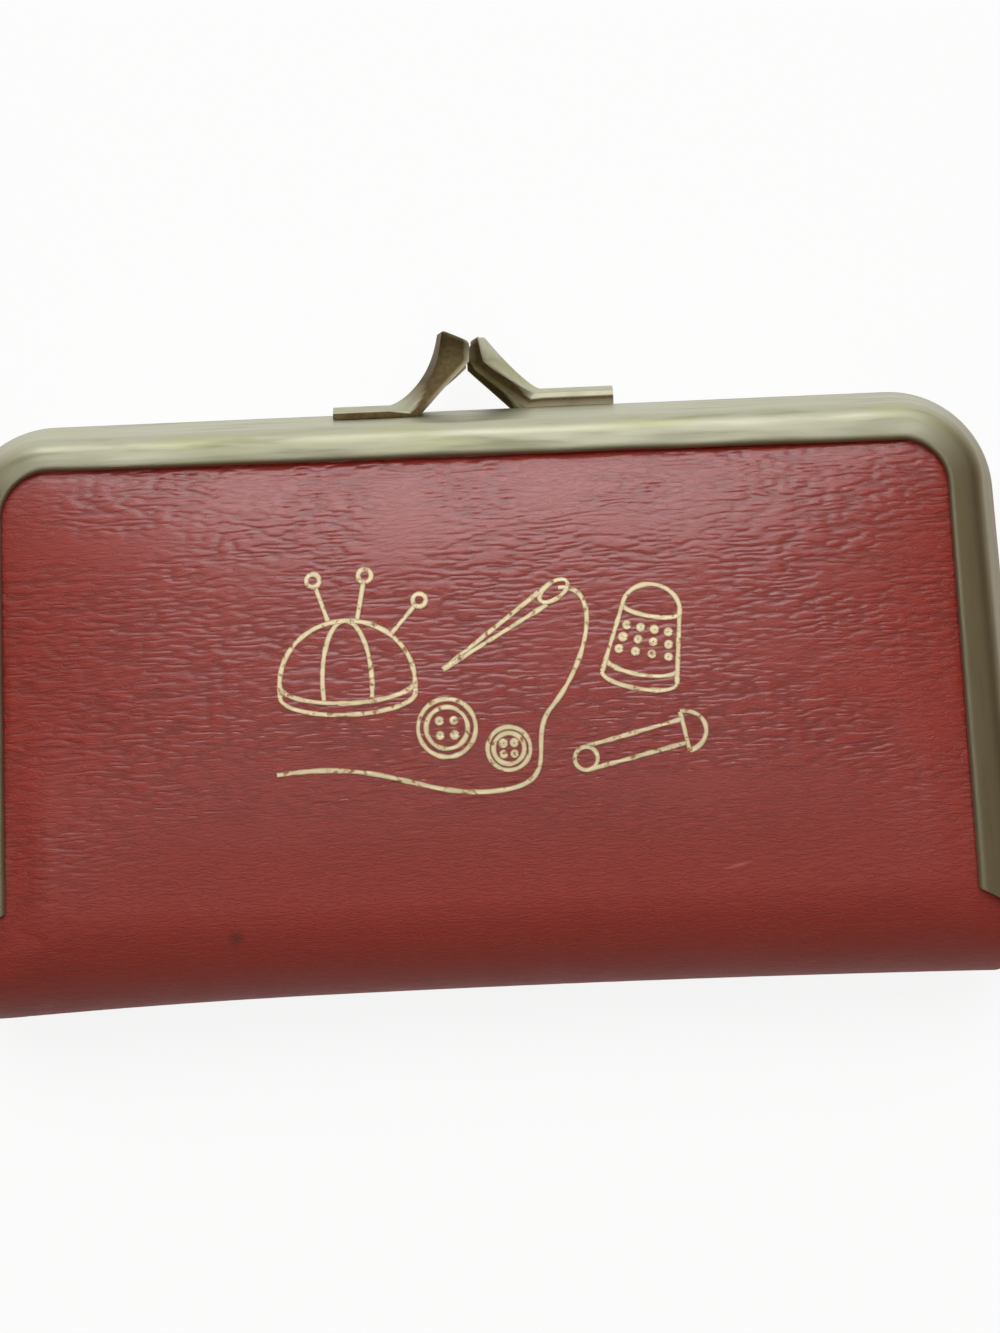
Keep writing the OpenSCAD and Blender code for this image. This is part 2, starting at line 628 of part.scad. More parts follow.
// The felt's two long edges are pinked: one zigzag outline.
module pinked_2d() {
    teeth = 20;
    depth = 1;
    edge = [for (i = [0 : 2 * teeth])
        [-pad_w / 2 + pad_w * i / (2 * teeth), pad_h / 2 - depth * (1 - i % 2)]];
    polygon(concat(edge, [for (p = reversed(edge)) [p[0], -p[1]]]));
}
module needle_pad() {
    color("#B8B2C8") on_lid(felt_x, room_mid, felt_t) linear_extrude(felt_t) pinked_2d();
}
module needles() {
    pitch = 4.5;
    color(steel) for (i = [-2 : 2])
        on_lid(felt_x - needle_l / 2 + abs(i), room_mid + i * pitch, felt_t + needle_r + slip_gap)
            rotate([0, 90, 0]) difference() {
                union() {
                    cylinder(r = needle_r, h = needle_l - 6);
                    translate([0, 0, needle_l - 6]) cylinder(r1 = needle_r, r2 = 0.05, h = 5);
                }
                translate([-1, -0.12, 1]) cube([2, 0.24, 1.8]);
            }
}

card_t = 0.5;
card_w = 2 * button_r * 3 + 6;
card_h = 2 * button_r * 2 + 6;
card_x = felt_x + pad_w / 2 + 5 + card_w / 2;
card_y = room_y0 + 4 + card_h / 2;
button_t = 2;
module button_card() {
    color("#E9E1CC") on_lid(card_x, card_y, card_t) linear_extrude(card_t)
        square([card_w, card_h], center = true);
}
module shirt_buttons() {
    color("#F1EEE8") for (ix = [-1 : 1]) for (iy = [-0.5, 0.5])
        on_lid(card_x + ix * (2 * button_r + 1.5), card_y + iy * (2 * button_r + 1.5), card_t + button_t)
            difference() {
                rotate_extrude() polygon([[0, 0.7], [button_r - 1.8, 0.7], [button_r - 1.2, 0],
                    [button_r - 0.5, 0], [button_r, 0.5], [button_r, 1.2], [button_r - 1.6, button_t],
                    [0, button_t]]);
                for (a = [0 : 90 : 270]) rotate([0, 0, a + 45]) translate([1.3, 0, -1])
                    cylinder(r = 0.5, h = button_t + 2, $fn = 24);
            }
}

// Safety pins: a bent wire with one coil, and a cap that shuts over the point.
wire_r = 0.4;
module safety_pin() {
    coil_r = 1.6;
    cap_l = 4.5;
    l = pin_l - cap_l - coil_r;
    rotate([0, 0, 90]) rotate_extrude(angle = 180) translate([coil_r, 0]) circle(r = wire_r, $fn = 24);
    for (side = [-1, 1]) translate([0, side * coil_r, 0]) rotate([0, 90, 0])
        cylinder(r = wire_r, h = l + cap_l / 2, $fn = 24);
    translate([l, 0, -wire_r * 1.5]) linear_extrude(wire_r * 3) {
        translate([0, -coil_r - 1]) square([cap_l - 1.8, 2 * coil_r + 2]);
        translate([cap_l - 1.8, 0]) circle(r = coil_r + 1);
    }
}
module safety_pins() {
    y0 = card_y + card_h / 2 + 5;
    color(brass) for (i = [0 : 1])
        on_lid(card_x - card_w / 2 + 3, y0 + i * 7.5, wire_r * 1.5 + fit_gap) safety_pin();
}

// Needle threader: a stamped plate that holds a diamond of fine wire.
plate_t = 0.4;
threader_x = thimble_x;
threader_y = room_y1 - 13;
module threader_plate() {
    color(steel) on_lid(threader_x, threader_y, plate_t + slip_gap) linear_extrude(plate_t) {
        circle(r = 6.5);
        polygon([[-4, 0], [-1.6, -11], [1.6, -11], [4, 0]]);
    }
}
module threader_wire() {
    t = 0.3;
    color(steel) on_lid(threader_x, threader_y - 10, plate_t + slip_gap + t + slip_gap)
        linear_extrude(t) difference() {
            polygon([[0, 1], [2.6, -7], [0, -14], [-2.6, -7]]);
            polygon([[0, -1.2], [2.1, -7], [0, -12.6], [-2.1, -7]]);
        }
}

front_frame();
back_frame();
left_hinge_rivet();
right_hinge_rivet();
front_clasp_arm();
back_clasp_arm();
front_cover();
back_cover();
front_padding();
back_padding();
front_board();
back_board();
spine_cover();
spine_lining();
front_lining();
back_lining();
scissors_lower_blade();
scissors_upper_blade();
scissors_screw();
scissors_strap();
thread_rod();
rod_brackets();
spool_1();
spool_2();
spool_3();
spool_4();
thread_1();
thread_2();
thread_3();
thread_4();
thimble();
thimble_loop();
needle_pad();
needles();
button_card();
shirt_buttons();
safety_pins();
threader_plate();
threader_wire();
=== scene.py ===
from math import radians

import bmesh
import bpy
import numpy as np
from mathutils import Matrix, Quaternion, Vector


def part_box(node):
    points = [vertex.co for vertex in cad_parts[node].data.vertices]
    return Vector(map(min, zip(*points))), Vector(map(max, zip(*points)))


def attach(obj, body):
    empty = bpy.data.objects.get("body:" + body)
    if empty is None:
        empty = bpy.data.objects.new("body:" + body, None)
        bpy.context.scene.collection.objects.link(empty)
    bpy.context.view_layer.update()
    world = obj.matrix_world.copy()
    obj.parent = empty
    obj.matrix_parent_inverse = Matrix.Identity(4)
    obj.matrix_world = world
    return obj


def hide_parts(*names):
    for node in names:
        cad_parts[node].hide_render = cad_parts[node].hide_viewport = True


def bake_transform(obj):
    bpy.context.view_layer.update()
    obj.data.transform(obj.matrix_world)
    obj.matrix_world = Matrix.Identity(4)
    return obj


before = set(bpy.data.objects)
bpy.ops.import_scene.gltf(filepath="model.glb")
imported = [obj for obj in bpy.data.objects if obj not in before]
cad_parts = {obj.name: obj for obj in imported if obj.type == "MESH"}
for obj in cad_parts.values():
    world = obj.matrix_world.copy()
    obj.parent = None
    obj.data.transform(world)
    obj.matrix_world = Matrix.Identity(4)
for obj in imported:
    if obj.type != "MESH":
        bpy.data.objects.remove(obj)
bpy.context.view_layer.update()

# Camera
# Looks almost straight down on the closed case with a long lens and a slight turn, so that both
# ends of the case just leave the picture. Its place was fitted to the frame's outline.
mm = 0.001
camera_place = (-2.13, -20.81, 460.22)
camera_turn = (3.216, -0.424, -2.535)
lens_length = 96.68

camera_data = bpy.data.cameras.new("camera")
camera_data.lens = lens_length
camera_data.sensor_width = 36
camera_data.clip_start = 0.01
camera = bpy.data.objects.new("camera", camera_data)
camera.location = [c * mm for c in camera_place]
camera.rotation_euler = [radians(a) for a in camera_turn]
bpy.context.collection.objects.link(camera)
bpy.context.scene.camera = camera

# Front cover
# A padded panel of red straight-grain leatherette, glued over wadding and a card board, with its
# edge tucked under the frame's lips. The embossed grain is pressed into the mesh from its face.
rivet_low, rivet_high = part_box("right_hinge_rivet")
frame_low, frame_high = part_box("front_frame")
hinge_y = (rivet_low.y + rivet_high.y) / 2 / mm
mid_z = (rivet_low.z + rivet_high.z) / 2 / mm
half_w = frame_high.x / mm
top_y = frame_high.y / mm
corner_r = 13.0
splay_out = 2.0
corner_y = top_y - corner_r
splay = np.arctan(splay_out / (corner_y - hinge_y))
corner_x = half_w - (corner_r + (corner_y - hinge_y) * np.sin(splay)) / np.cos(splay)

end_drop = 4.9
mitre_inset = 2.6
mitre_run = 5.8
mitre_rise = 4.4
lip_inset = 7.2
lip_skew = 0.3
lip_flare = 0.8
cover_inset = 3.6
edge_h = 11.35
crown = 2.8
spine_crown = 0.65
spine_hollow = 0.8
spine_slack = 0.55
board_top = 9.95
grain_depth = 0.085


def clamp(t):
    """t held between 0 and 1."""
    return np.clip(t, 0.0, 1.0)


def smooth(t):
    """An S-shaped step from 0 to 1 as t does, 3tt - 2ttt."""
    t = clamp(t)
    return t * t * (3 - 2 * t)


def side_x(y, inset):
    """Half the width at y between the splayed arms, at an inset from their outline."""
    return corner_x + (corner_r - inset - (y - corner_y) * np.sin(splay)) / np.cos(splay)


def half_span(y, inset):
    """Half the width of a panel at y: up to the splayed side, or to the round corner above it."""
    r = corner_r - inset
    arc = corner_x + np.sqrt(np.clip(r * r - (y - corner_y) ** 2, 0, None))
    return np.where(y > corner_y + r * np.sin(splay), arc, side_x(y, inset))


def lip_gap(x, y, skew):
    """Distance of a point from the lip's edge. It lies inside the sides, the round corners or the
    top, or past the mitre at an arm's end, whichever is further. skew widens the lip to the right,
    and it flares down the arms."""
    out_x = np.abs(x)
    flare = lip_flare * clamp((corner_y - y) / (corner_y - hinge_y))
    side = (side_x(y, 0) - out_x) * np.cos(splay) - flare
    far = np.maximum(np.hypot(out_x - corner_x, y - corner_y), 0.1)
    corner = corner_r - far - skew * np.sign(x) * ((y - corner_y) / far) ** 2
    top = top_y - y - skew * np.clip(x / corner_x, -1, 1)
    inside = np.where((out_x > corner_x) & (y > corner_y), corner, np.minimum(side, top))
    past = ((half_w - mitre_inset - out_x) * mitre_rise + (hinge_y - end_drop - y) * mitre_run)
    return np.maximum(inside - lip_inset, past / np.hypot(mitre_rise, mitre_run))


def spine_full(x):
    """How far the spine stands above the tucked edge away from the lips: a shallow hollow in the
    middle, and fuller towards the left end."""
    hollow = spine_hollow * (1 - clamp(np.abs(x) / half_w) ** 2)
    return spine_crown - hollow + spine_slack * clamp((-x - 20) / 40) ** 2


def spine_rise(x, gap):
    """The same, falling to the tucked edge within a few millimetres of a lip."""
    return spine_full(x) * smooth(gap / 5.5)


def lip_dip(gap):
    """How far the skin is drawn down beside the lip's edge: a narrow bell curve along it."""
    return 0.05 * np.exp(-(gap / 0.2) ** 2)


def cover_height(x, y, skew):
    """Height of a cover over the closing plane: full in the middle, falling as the fourth power
    towards the lips, and easing down to the spine's height at the hinge."""
    gap = lip_gap(x, y, skew)
    end_y = top_y - lip_inset
    mid_y = (hinge_y + end_y) / 2
    across = 1 - clamp(np.abs(x) / side_x(y, lip_inset)) ** 4
    t = (y - mid_y) / (end_y - mid_y)
    k = smooth(1 + t)
    upper = crown * across * (1 - clamp(t) ** 4)
    lower = k * crown * across + (1 - k) * spine_rise(x, gap)
    return edge_h + np.where(t > 0, upper, lower) - lip_dip(gap)


random_grid = np.random.default_rng(3).uniform(-1, 1, (256, 256))


def drift(x, y):
    """Smooth noise from -1 to 1: a random value at each whole number, eased between neighbours."""
    column, row = np.floor(x).astype(int), np.floor(y).astype(int)
    right, up = smooth(x - column), smooth(y - row)
    value = [[random_grid[(column + i) % 256, (row + j) % 256] for j in (0, 1)] for i in (0, 1)]
    low = value[0][0] * (1 - right) + value[1][0] * right
    high = value[0][1] * (1 - right) + value[1][1] * right
    return low * (1 - up) + high * up


def crease(x, run):
    """Depth of the straight grain, 0 on its ridges and 1 in its creases. A noise drawn out along
    the spine is bent by slower ones, and a crease runs wherever it passes through zero."""
    bent = run + 0.3 * drift(x / 8, run / 5) + 0.12 * drift(x / 2 + 7, run / 1.4)
    cells = drift(x / 1.9, bent / 0.46) + 0.3 * drift(x / 1.1 + 40, bent / 0.34 + 9)
    strength = smooth(0.75 + 0.5 * drift(x / 9 + 5, run / 4))
    return strength * np.exp(-(cells / 0.32) ** 2)


def fresh_grain(x, y):
    """How much of the grain is left: all of it above, and worn faint down at the spine, but less so
    towards the left end."""
    return 0.25 + 0.75 * smooth((y - hinge_y + 10 * clamp((-x - 35) / 25)) / 19)


def paint(piece, name, values):
    """Keeps one value, or three, at each point of a piece for its material to read."""
    kind, key = ("FLOAT", "value") if values.ndim == 1 else ("FLOAT_VECTOR", "vector")
    piece.data.attributes.new(name, kind, "POINT").data.foreach_set(key, values.ravel())


def make_piece(name, points, faces, material, sharp=40):
    """A mesh object from points in millimetres and faces as lists of point numbers. Its place is
    in its mesh, its closed parts face outwards, and edges past the sharp angle stay crisp."""
    mesh = bpy.data.meshes.new(name)
    mesh.from_pydata((np.asarray(points) * mm).tolist(), [], faces)
    work = bmesh.new()
    work.from_mesh(mesh)
    bmesh.ops.recalc_face_normals(work, faces=work.faces)
    work.to_mesh(mesh)
    work.free()
    mesh.polygons.foreach_set("use_smooth", np.ones(len(mesh.polygons), dtype=bool))
    mesh.set_sharp_from_angle(angle=radians(sharp))
    mesh.materials.append(material)
    piece = bpy.data.objects.new(name, mesh)
    bpy.context.collection.objects.link(piece)
    return piece


def grid_faces(index):
    """Four-sided faces between the neighbours of a grid of point numbers."""
    corners = (index[:-1, :-1], index[1:, :-1], index[1:, 1:], index[:-1, 1:])
    return np.stack(corners, -1).reshape(-1, 4).tolist()


def cover_panel(name, side, skew, material):
    """A cover: rows of points across the panel at even steps of y, lifted to cover_height less the
    grain, with a flat under face on the board. side is 1 for the front and -1 for the back, which
    is pressed flat where the case rests."""
    y = np.linspace(hinge_y, corner_y + corner_r - cover_inset, 480)[:, None]
    x = np.linspace(-1, 1, 281)[None, :] * half_span(y, cover_inset)
    y = np.broadcast_to(y, x.shape)
    pressed = crease(x, y * side + 60) * fresh_grain(x, y)
    height = np.minimum(cover_height(x, y, skew), mid_z if side < 0 else np.inf)
    top = np.stack([x, y, mid_z + side * (height - grain_depth * pressed)], -1).reshape(-1, 3)
    index = np.arange(x.size).reshape(x.shape)
    rim = np.concatenate([index[0], index[1:, -1], index[-1, -2::-1], index[-2:0:-1, 0]])
    under = top[rim].copy()
    under[:, 2] = mid_z + side * board_top
    low = x.size + np.arange(len(rim))
    wall = np.stack([rim, np.roll(rim, -1), np.roll(low, -1), low], -1).tolist()
    piece = make_piece(name, np.concatenate([top, under]), grid_faces(index) + wall + [low.tolist()],
                       material)
    paint(piece, "crease", np.concatenate([pressed.ravel(), np.zeros(len(rim))]))
    return piece


def colour(code):
    """Linear red, green, blue and alpha of an sRGB hex colour."""
    srgb = np.array([int(code[i:i + 2], 16) for i in (1, 3, 5)]) / 255
    linear = np.where(srgb <= 0.04045, srgb / 12.92, ((srgb + 0.055) / 1.055) ** 2.4)
    return (*linear.tolist(), 1.0)


def fill(tree, node, inputs):
    """Fills a node's inputs: a socket is linked, and anything else is set as a value."""
    for name, value in inputs.items():
        if isinstance(value, bpy.types.NodeSocket):
            tree.links.new(value, node.inputs[name])
        else:
            node.inputs[name].default_value = value
    return node


def add(tree, kind, inputs=None, **settings):
    """Adds one shader node with its settings and its inputs."""
    node = tree.nodes.new("ShaderNode" + kind)
    for name, value in settings.items():
        setattr(node, name, value)
    return fill(tree, node, inputs or {})


def new_finish(name):
    """An empty material: returns it, its node tree, its shader and the place on the piece."""
    material = bpy.data.materials.new(name)
    material.use_nodes = True
    tree = material.node_tree
    return material, tree, tree.nodes["Principled BSDF"], add(tree, "TexCoord").outputs["Object"]


def semi_gloss_leatherette():
    """PVC leatherette, calendered with a straight grain under a clear top coat: a broad pale sheen
    over deep red, crisp lights along the creases and painted shade in them, matt and darker where
    it is rubbed at the spine, with one dark stain and one pale scuff."""
    material, tree, shader, place = new_finish("semi_gloss_leatherette")
    pressed = add(tree, "Attribute", attribute_name="crease").outputs["Fac"]
    height = add(tree, "SeparateXYZ", {"Vector": place}).outputs["Y"]
    fresh = add(tree, "MapRange", {"Value": height, "From Min": (hinge_y - 4) * mm,
                                   "From Max": (hinge_y + 19) * mm},
                interpolation_type="SMOOTHSTEP").outputs[0]
    clouds = add(tree, "TexNoise", {"Vector": place, "Scale": 1 / (15 * mm), "Detail": 3.0})
    tone = add(tree, "MixRGB", {"Fac": clouds.outputs[0], "Color1": colour("#8A251B"),
                                "Color2": colour("#9A2F25")})
    tone = add(tree, "MixRGB", {"Fac": fresh, "Color1": colour("#8A2E24"), "Color2": tone.outputs[0]})
    # painted shade: the tone darkens towards #54201D with the depth of each crease
    crease_shade = add(tree, "Math", {0: pressed, 1: 0.36}, operation="MULTIPLY")
    tone = add(tree, "MixRGB", {"Fac": crease_shade.outputs[0], "Color1": tone.outputs[0],
                                "Color2": colour("#54201D")})
    stain_far = add(tree, "VectorMath", {0: place, 1: [c * mm for c in (-31.3, -28.3, 24.7)]},
                    operation="DISTANCE").outputs["Value"]
    stain = add(tree, "MapRange", {"Value": stain_far, "From Min": 0.3 * mm, "From Max": 1.5 * mm,
                                   "To Min": 0.55, "To Max": 0.0}, interpolation_type="SMOOTHSTEP")
    tone = add(tree, "MixRGB", {"Fac": stain.outputs[0], "Color1": tone.outputs[0],
                                "Color2": colour("#3A1E18")})
    scuff_turn = add(tree, "Mapping", {"Vector": place, "Location": [c * mm for c in (30.1, -21.9, 24.9)],
                                       "Rotation": (0, 0, radians(14)),
                                       "Scale": (2.6, 0.3, 2.0)}, vector_type="TEXTURE")
    scuff_far = add(tree, "VectorMath", {0: scuff_turn.outputs[0]}, operation="LENGTH").outputs["Value"]
    scuff = add(tree, "MapRange", {"Value": scuff_far, "From Min": 0.2 * mm, "From Max": 1.0 * mm,
                                   "To Min": 0.5, "To Max": 0.0}, interpolation_type="SMOOTHSTEP")
    tone = add(tree, "MixRGB", {"Fac": scuff.outputs[0], "Color1": tone.outputs[0],
                                "Color2": colour("#B4605C")})
    drawn_out = add(tree, "Mapping", {"Vector": place, "Scale": [1 / (s * mm) for s in (1.9, 0.45, 0.45)]})
    fine = add(tree, "TexNoise", {"Vector": drawn_out.outputs[0], "Scale": 1.0, "Detail": 2.0})
    off_middle = add(tree, "Math", {0: fine.outputs[0], 1: 0.5}, operation="SUBTRACT")
    off_middle = add(tree, "Math", {0: off_middle.outputs[0]}, operation="ABSOLUTE")
    fine_ridge = add(tree, "MapRange", {"Value": off_middle.outputs[0], "From Max": 0.07},
                     interpolation_type="SMOOTHSTEP")
    relief = add(tree, "Bump", {"Height": fine_ridge.outputs[0], "Strength": 0.7, "Distance": 0.07 * mm})
    patches = add(tree, "TexNoise", {"Vector": place, "Scale": 1 / (6 * mm), "Detail": 2.0})
    rubbed = add(tree, "MapRange", {"Value": fresh, "To Min": 0.58, "To Max": 0.36})
    gloss = add(tree, "Math", {0: patches.outputs[0], 1: 0.1, 2: rubbed.outputs[0]},
                operation="MULTIPLY_ADD")
    coat = add(tree, "Math", {0: fresh, 1: 0.9}, operation="MULTIPLY")
    fill(tree, shader, {"Base Color": tone.outputs[0], "Roughness": gloss.outputs[0],
                        "Normal": relief.outputs[0], "Coat Weight": coat.outputs[0], "IOR": 1.5,
                        "Coat Roughness": 0.25, "Coat IOR": 1.65})
    return material


red_leatherette = semi_gloss_leatherette()
front_cover = cover_panel("front_cover_padded", 1, lip_skew, red_leatherette)
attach(front_cover, "front_half")
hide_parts("front_cover", "front_padding")

# Back cover
# The same panel on the back half, which carries the case when it lies down: its crown is pressed
# flat there, and the grain runs on over the flat.
back_cover = cover_panel("back_cover_padded", -1, 0.0, red_leatherette)
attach(back_cover, "back_half")
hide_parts("back_cover", "back_padding")

# Foil print
# A generic group of sewing things in thin lines of pale gold foil, stamped hot into the front
# cover, so it follows the grain and is worn through in places.
foil_middle = (0.6, 1.6)
foil_line = 0.62
foil_step = 0.35
foil_columns = 6


def shell(outer, inner, ring=False):
    """Points and faces of a closed wall between two grids with the same rows and columns: both
    faces, and a rim along every border. With ring, the last row meets the first."""
    index = np.arange(2 * outer.shape[0] * outer.shape[1]).reshape(2, *outer.shape[:2])
    if ring:
        index = np.concatenate([index, index[:, :1]], axis=1)
    a, b = index
    faces = grid_faces(a) + grid_faces(b[:, ::-1])
    borders = [(a[:, 0], b[:, 0]), (b[:, -1], a[:, -1])]
    if not ring:
        borders += [(b[0], a[0]), (a[-1], b[-1])]
    for one, other in borders:
        faces += np.stack([one[:-1], one[1:], other[1:], other[:-1]], -1).tolist()
    return np.concatenate([outer.reshape(-1, 3), inner.reshape(-1, 3)]), faces


def together(parts):
    """Several lists of points and faces as one."""
    points, faces, count = [], [], 0
    for part_points, part_faces in parts:
        points.append(part_points)
        faces += [[i + count for i in face] for face in part_faces]
        count += len(part_points)
    return np.concatenate(points), faces


def even_steps(line, step):
    """The same line with its points an even step apart along it."""
    far = np.concatenate([[0], np.cumsum(np.hypot(*np.diff(line, axis=0).T))])
    at = np.linspace(0, far[-1], max(12, int(far[-1] / step) + 1))
    return np.stack([np.interp(at, far, line[:, i]) for i in (0, 1)], -1)


def turn(x, y, rx, ry, start=0, end=360):
    """An arc of an ellipse round a point, from one angle to another."""
    a = np.radians(np.linspace(start, end, 49))
    return np.stack([x + rx * np.cos(a), y + ry * np.sin(a)], -1)


def placed(line, x, y, angle):
    """A line turned by an angle and moved to a point."""
    a = radians(angle)
    return line @ np.array([[np.cos(a), np.sin(a)], [-np.sin(a), np.cos(a)]]) + (x, y)


def bent(control, t):
    """A cubic curve led by four control points, at t from 0 to 1."""
    a, b, c, d = np.array(control, float)
    t = t[:, None]
    return (1 - t) ** 3 * a + 3 * (1 - t) ** 2 * t * b + 3 * (1 - t) * t * t * c + t ** 3 * d


def foil_lines():
    """The print's lines round its middle, in millimetres: a pincushion with pins, a thimble, two
    buttons, a safety pin, and a needle whose thread runs below them all."""
    dome = [turn(-17, 0.5, 8.2, 7.6, 0, 180)] + [turn(-17, 0.5, x, 7.6, -15, 90) for x in (-3, 3)]
    band = [turn(-17, y, 8.2, 2.4, 180, 360) for y in (0.5, -0.9)]
    lines = dome + band + [np.array([[x, 0.5], [x, -0.9]]) for x in (-25.2, -8.8)]
    for x, y, angle in ((-19, 8, 108), (-15.5, 8.2, 78), (-11.5, 6.2, 48)):
        lines += [placed(np.array([[0, 0], [4.6, 0]]), x, y, angle),
                  placed(turn(5.4, 0, 0.8, 0.8), x, y, angle)]
    thimble = [np.array([[-4.6 * k, -5.5], [-3.5 * k, 3.0]]) for k in (-1, 1)]
    thimble += [turn(0, 3, 3.5, 3, 0, 180), turn(0, 3, 3.5, 0.9, 180, 360)]
    thimble += [turn(0, y, rx, 1.3, 180, 360) for y, rx in ((-5.5, 4.6), (-3.8, 4.4))]
    thimble += [turn(x * (1.1 - 0.07 * y), y, 0.3, 0.3) for y in (-2.4, -0.9, 0.6) for x in (-2.4, -0.8, 0.8, 2.4)]
    lines += [placed(line, 19.5, 5, -12) for line in thimble]
    for x, y, r in ((-5.2, -5.4, 3.5), (2.2, -8.2, 2.6)):
        lines += [turn(x, y, r, r), turn(x, y, r * 0.72, r * 0.72)]
        lines += [turn(x + i * r * 0.25, y + j * r * 0.25, 0.3, 0.3) for i in (-1, 1) for j in (-1, 1)]
    needle = [np.array([[15, 0.9], [0, 0], [15, -0.9]]), turn(16.6, 0, 2, 1)]
    lines += [placed(line, -5.5, 1.6, 33) for line in needle]
    t = np.linspace(0, 1, 60)
    lines += [bent([[9, 11], [14.5, 11.5], [12.5, 2], [7.5, -3.5]], t),
              bent([[7.5, -3.5], [4.2, -7.2], [9, -12.5], [1, -13.2]], t),
              bent([[1, -13.2], [-9, -14], [-12, -8.6], [-26, -10.2]], t)]
    pin = [turn(0, 0, 1.4, 1.4), np.array([[0.2, 1.4], [12.4, 1.7]]), np.array([[0.2, -1.4], [12.4, -1.2]]),
           turn(12.4, 0.2, 2.6, 2.4, -90, 90), np.array([[12.4, 2.6], [12.4, -2.2]])]
    return lines + [placed(line, 11.5, -9.8, 12) for line in pin]


def foil_ribbon(line):
    """One foil line: a thin tape that lies on the cover's grain, a trace above it."""
    line = even_steps(line + np.array(foil_middle), foil_step)
    ahead = np.gradient(line, axis=0)
    aside = np.stack([-ahead[:, 1], ahead[:, 0]], -1) / np.hypot(*ahead.T)[:, None]
    uneven = 1 + 0.22 * drift(line[:, 0] / 0.9, line[:, 1] / 0.9)
    across = (foil_line * np.linspace(-0.5, 0.5, foil_columns))[:, None] * uneven[:, None, None]
    at = line[:, None] + aside[:, None] * across
    x, y = at[..., 0], at[..., 1]
    pressed = crease(x, y + 60) * fresh_grain(x, y)
    z = mid_z + cover_height(x, y, lip_skew) - grain_depth * pressed
    return shell(np.stack([x, y, z + 0.07], -1), np.stack([x, y, z - 0.05], -1))


def worn_gold_foil():
    """Hot-stamped foil over leatherette: pale gold, half matt, with the red showing where it wore,
    and an olive border of painted shade along its edges, where the die pressed it into the skin."""
    material, tree, shader, place = new_finish("worn_gold_foil")
    flecks = add(tree, "TexNoise", {"Vector": place, "Scale": 1 / (0.8 * mm), "Detail": 3.0})
    worn = add(tree, "MapRange", {"Value": flecks.outputs[0], "From Min": 0.56, "From Max": 0.68})
    tone = add(tree, "MixRGB", {"Fac": worn.outputs[0], "Color1": colour("#F0DDB4"),
                                "Color2": colour("#A8764F")})
    # painted shade: the border value darkens the foil's edges to olive
    border = add(tree, "Attribute", attribute_name="border").outputs["Fac"]
    tone = add(tree, "MixRGB", {"Fac": border, "Color1": tone.outputs[0], "Color2": colour("#7A6038")})
    relief = add(tree, "Bump", {"Height": flecks.outputs[0], "Strength": 0.2, "Distance": 0.05 * mm})
    fill(tree, shader, {"Base Color": tone.outputs[0], "Normal": relief.outputs[0],
                        "Metallic": 0.25, "Roughness": 0.5})
    return material


foil_print = make_piece("foil_print", *together([foil_ribbon(line) for line in foil_lines()]),
                        worn_gold_foil())
# painted shade along both edges of each foil line, none across its middle
paint(foil_print, "border", np.tile([0.9, 0.15, 0, 0, 0.15, 0.9], len(foil_print.data.vertices) // foil_columns))
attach(foil_print, "front_half")

# Spine
# One strip of the same leatherette, glued to both covers' edges and bent half round the hinge,
# with its ends turned in. The grain on it is worn smooth.
spine_half = 63.4
end_r = 5.0
shoulder = 1.3
skin = 0.8


def spine_skin(depth, rows, columns):
    """The strip at a depth under its face: a half round about the hinge axis whose radius is the
    tucked edge's height plus spine_rise, with a quarter-round shoulder down to each turned-in end."""
    turned = np.linspace(0, 1, 7)[:-1]
    drop = shoulder * (1 - np.sin(np.radians(np.linspace(0, 90, 7))))
    corner = -spine_half + shoulder * (1 - np.cos(np.radians(np.linspace(0, 90, 7))))
    flat = np.linspace(corner[-1], -corner[-1], columns)[1:-1]
    x = np.concatenate([np.full(6, -spine_half), corner, flat, -corner[::-1], np.full(6, spine_half)])
    fall = np.concatenate([np.full(6, shoulder), drop, np.zeros(len(flat)), drop[::-1], np.full(6, shoulder)])
    share = np.concatenate([turned, np.ones(len(x) - 12), turned[::-1]])[None, :]
    around = np.linspace(0, np.pi, rows)[:, None]
    x = np.broadcast_to(x, (rows, len(x)))
    near = hinge_y - (edge_h + spine_crown) * np.sin(around)
    gap = lip_gap(x, near, 0.0)
    full = edge_h + spine_rise(x, gap) - lip_dip(gap) * (np.cos(around) ** 2)
    run = hinge_y - full * around + 60
    pressed = crease(x, run) * fresh_grain(x, hinge_y) * share
    reach = end_r + share * (full - fall - grain_depth * pressed - end_r) - depth * (share > 0.99)
    place_x = x * (1 - depth / spine_half)
    points = np.stack([place_x, hinge_y - reach * np.sin(around), mid_z + reach * np.cos(around)], -1)
    return points, pressed


spine_face, spine_pressed = spine_skin(0.0, 121, 205)
spine_under, _ = spine_skin(skin, 121, 205)
spine = make_piece("spine_leatherette", *shell(spine_face, spine_under), red_leatherette)
paint(spine, "crease", np.concatenate([spine_pressed.ravel(), np.zeros(spine_pressed.size)]))
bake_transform(spine)
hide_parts("spine_cover")

# Frames
# Two channels roll-formed from thin brass sheet, bent round the corners with splayed arms, mitred
# across the lip at each end and riveted through ears at the hinge. Lacquered, tarnished and rubbed, with painted shade
# on the arms, along the lip's edge and near the closing line.
wall_lean = 2.6
bead_r = 2.4
sheet_t = 0.7
half_depth = 12.4
lip_slope = (0.13, 0.02)
lip_round = 0.45
wall_top = half_depth - bead_r
closing_gap = 0.1
ear_r = 3.4
ear_t = 0.8
ear_hole = 1.25
ear_gap = 0.3


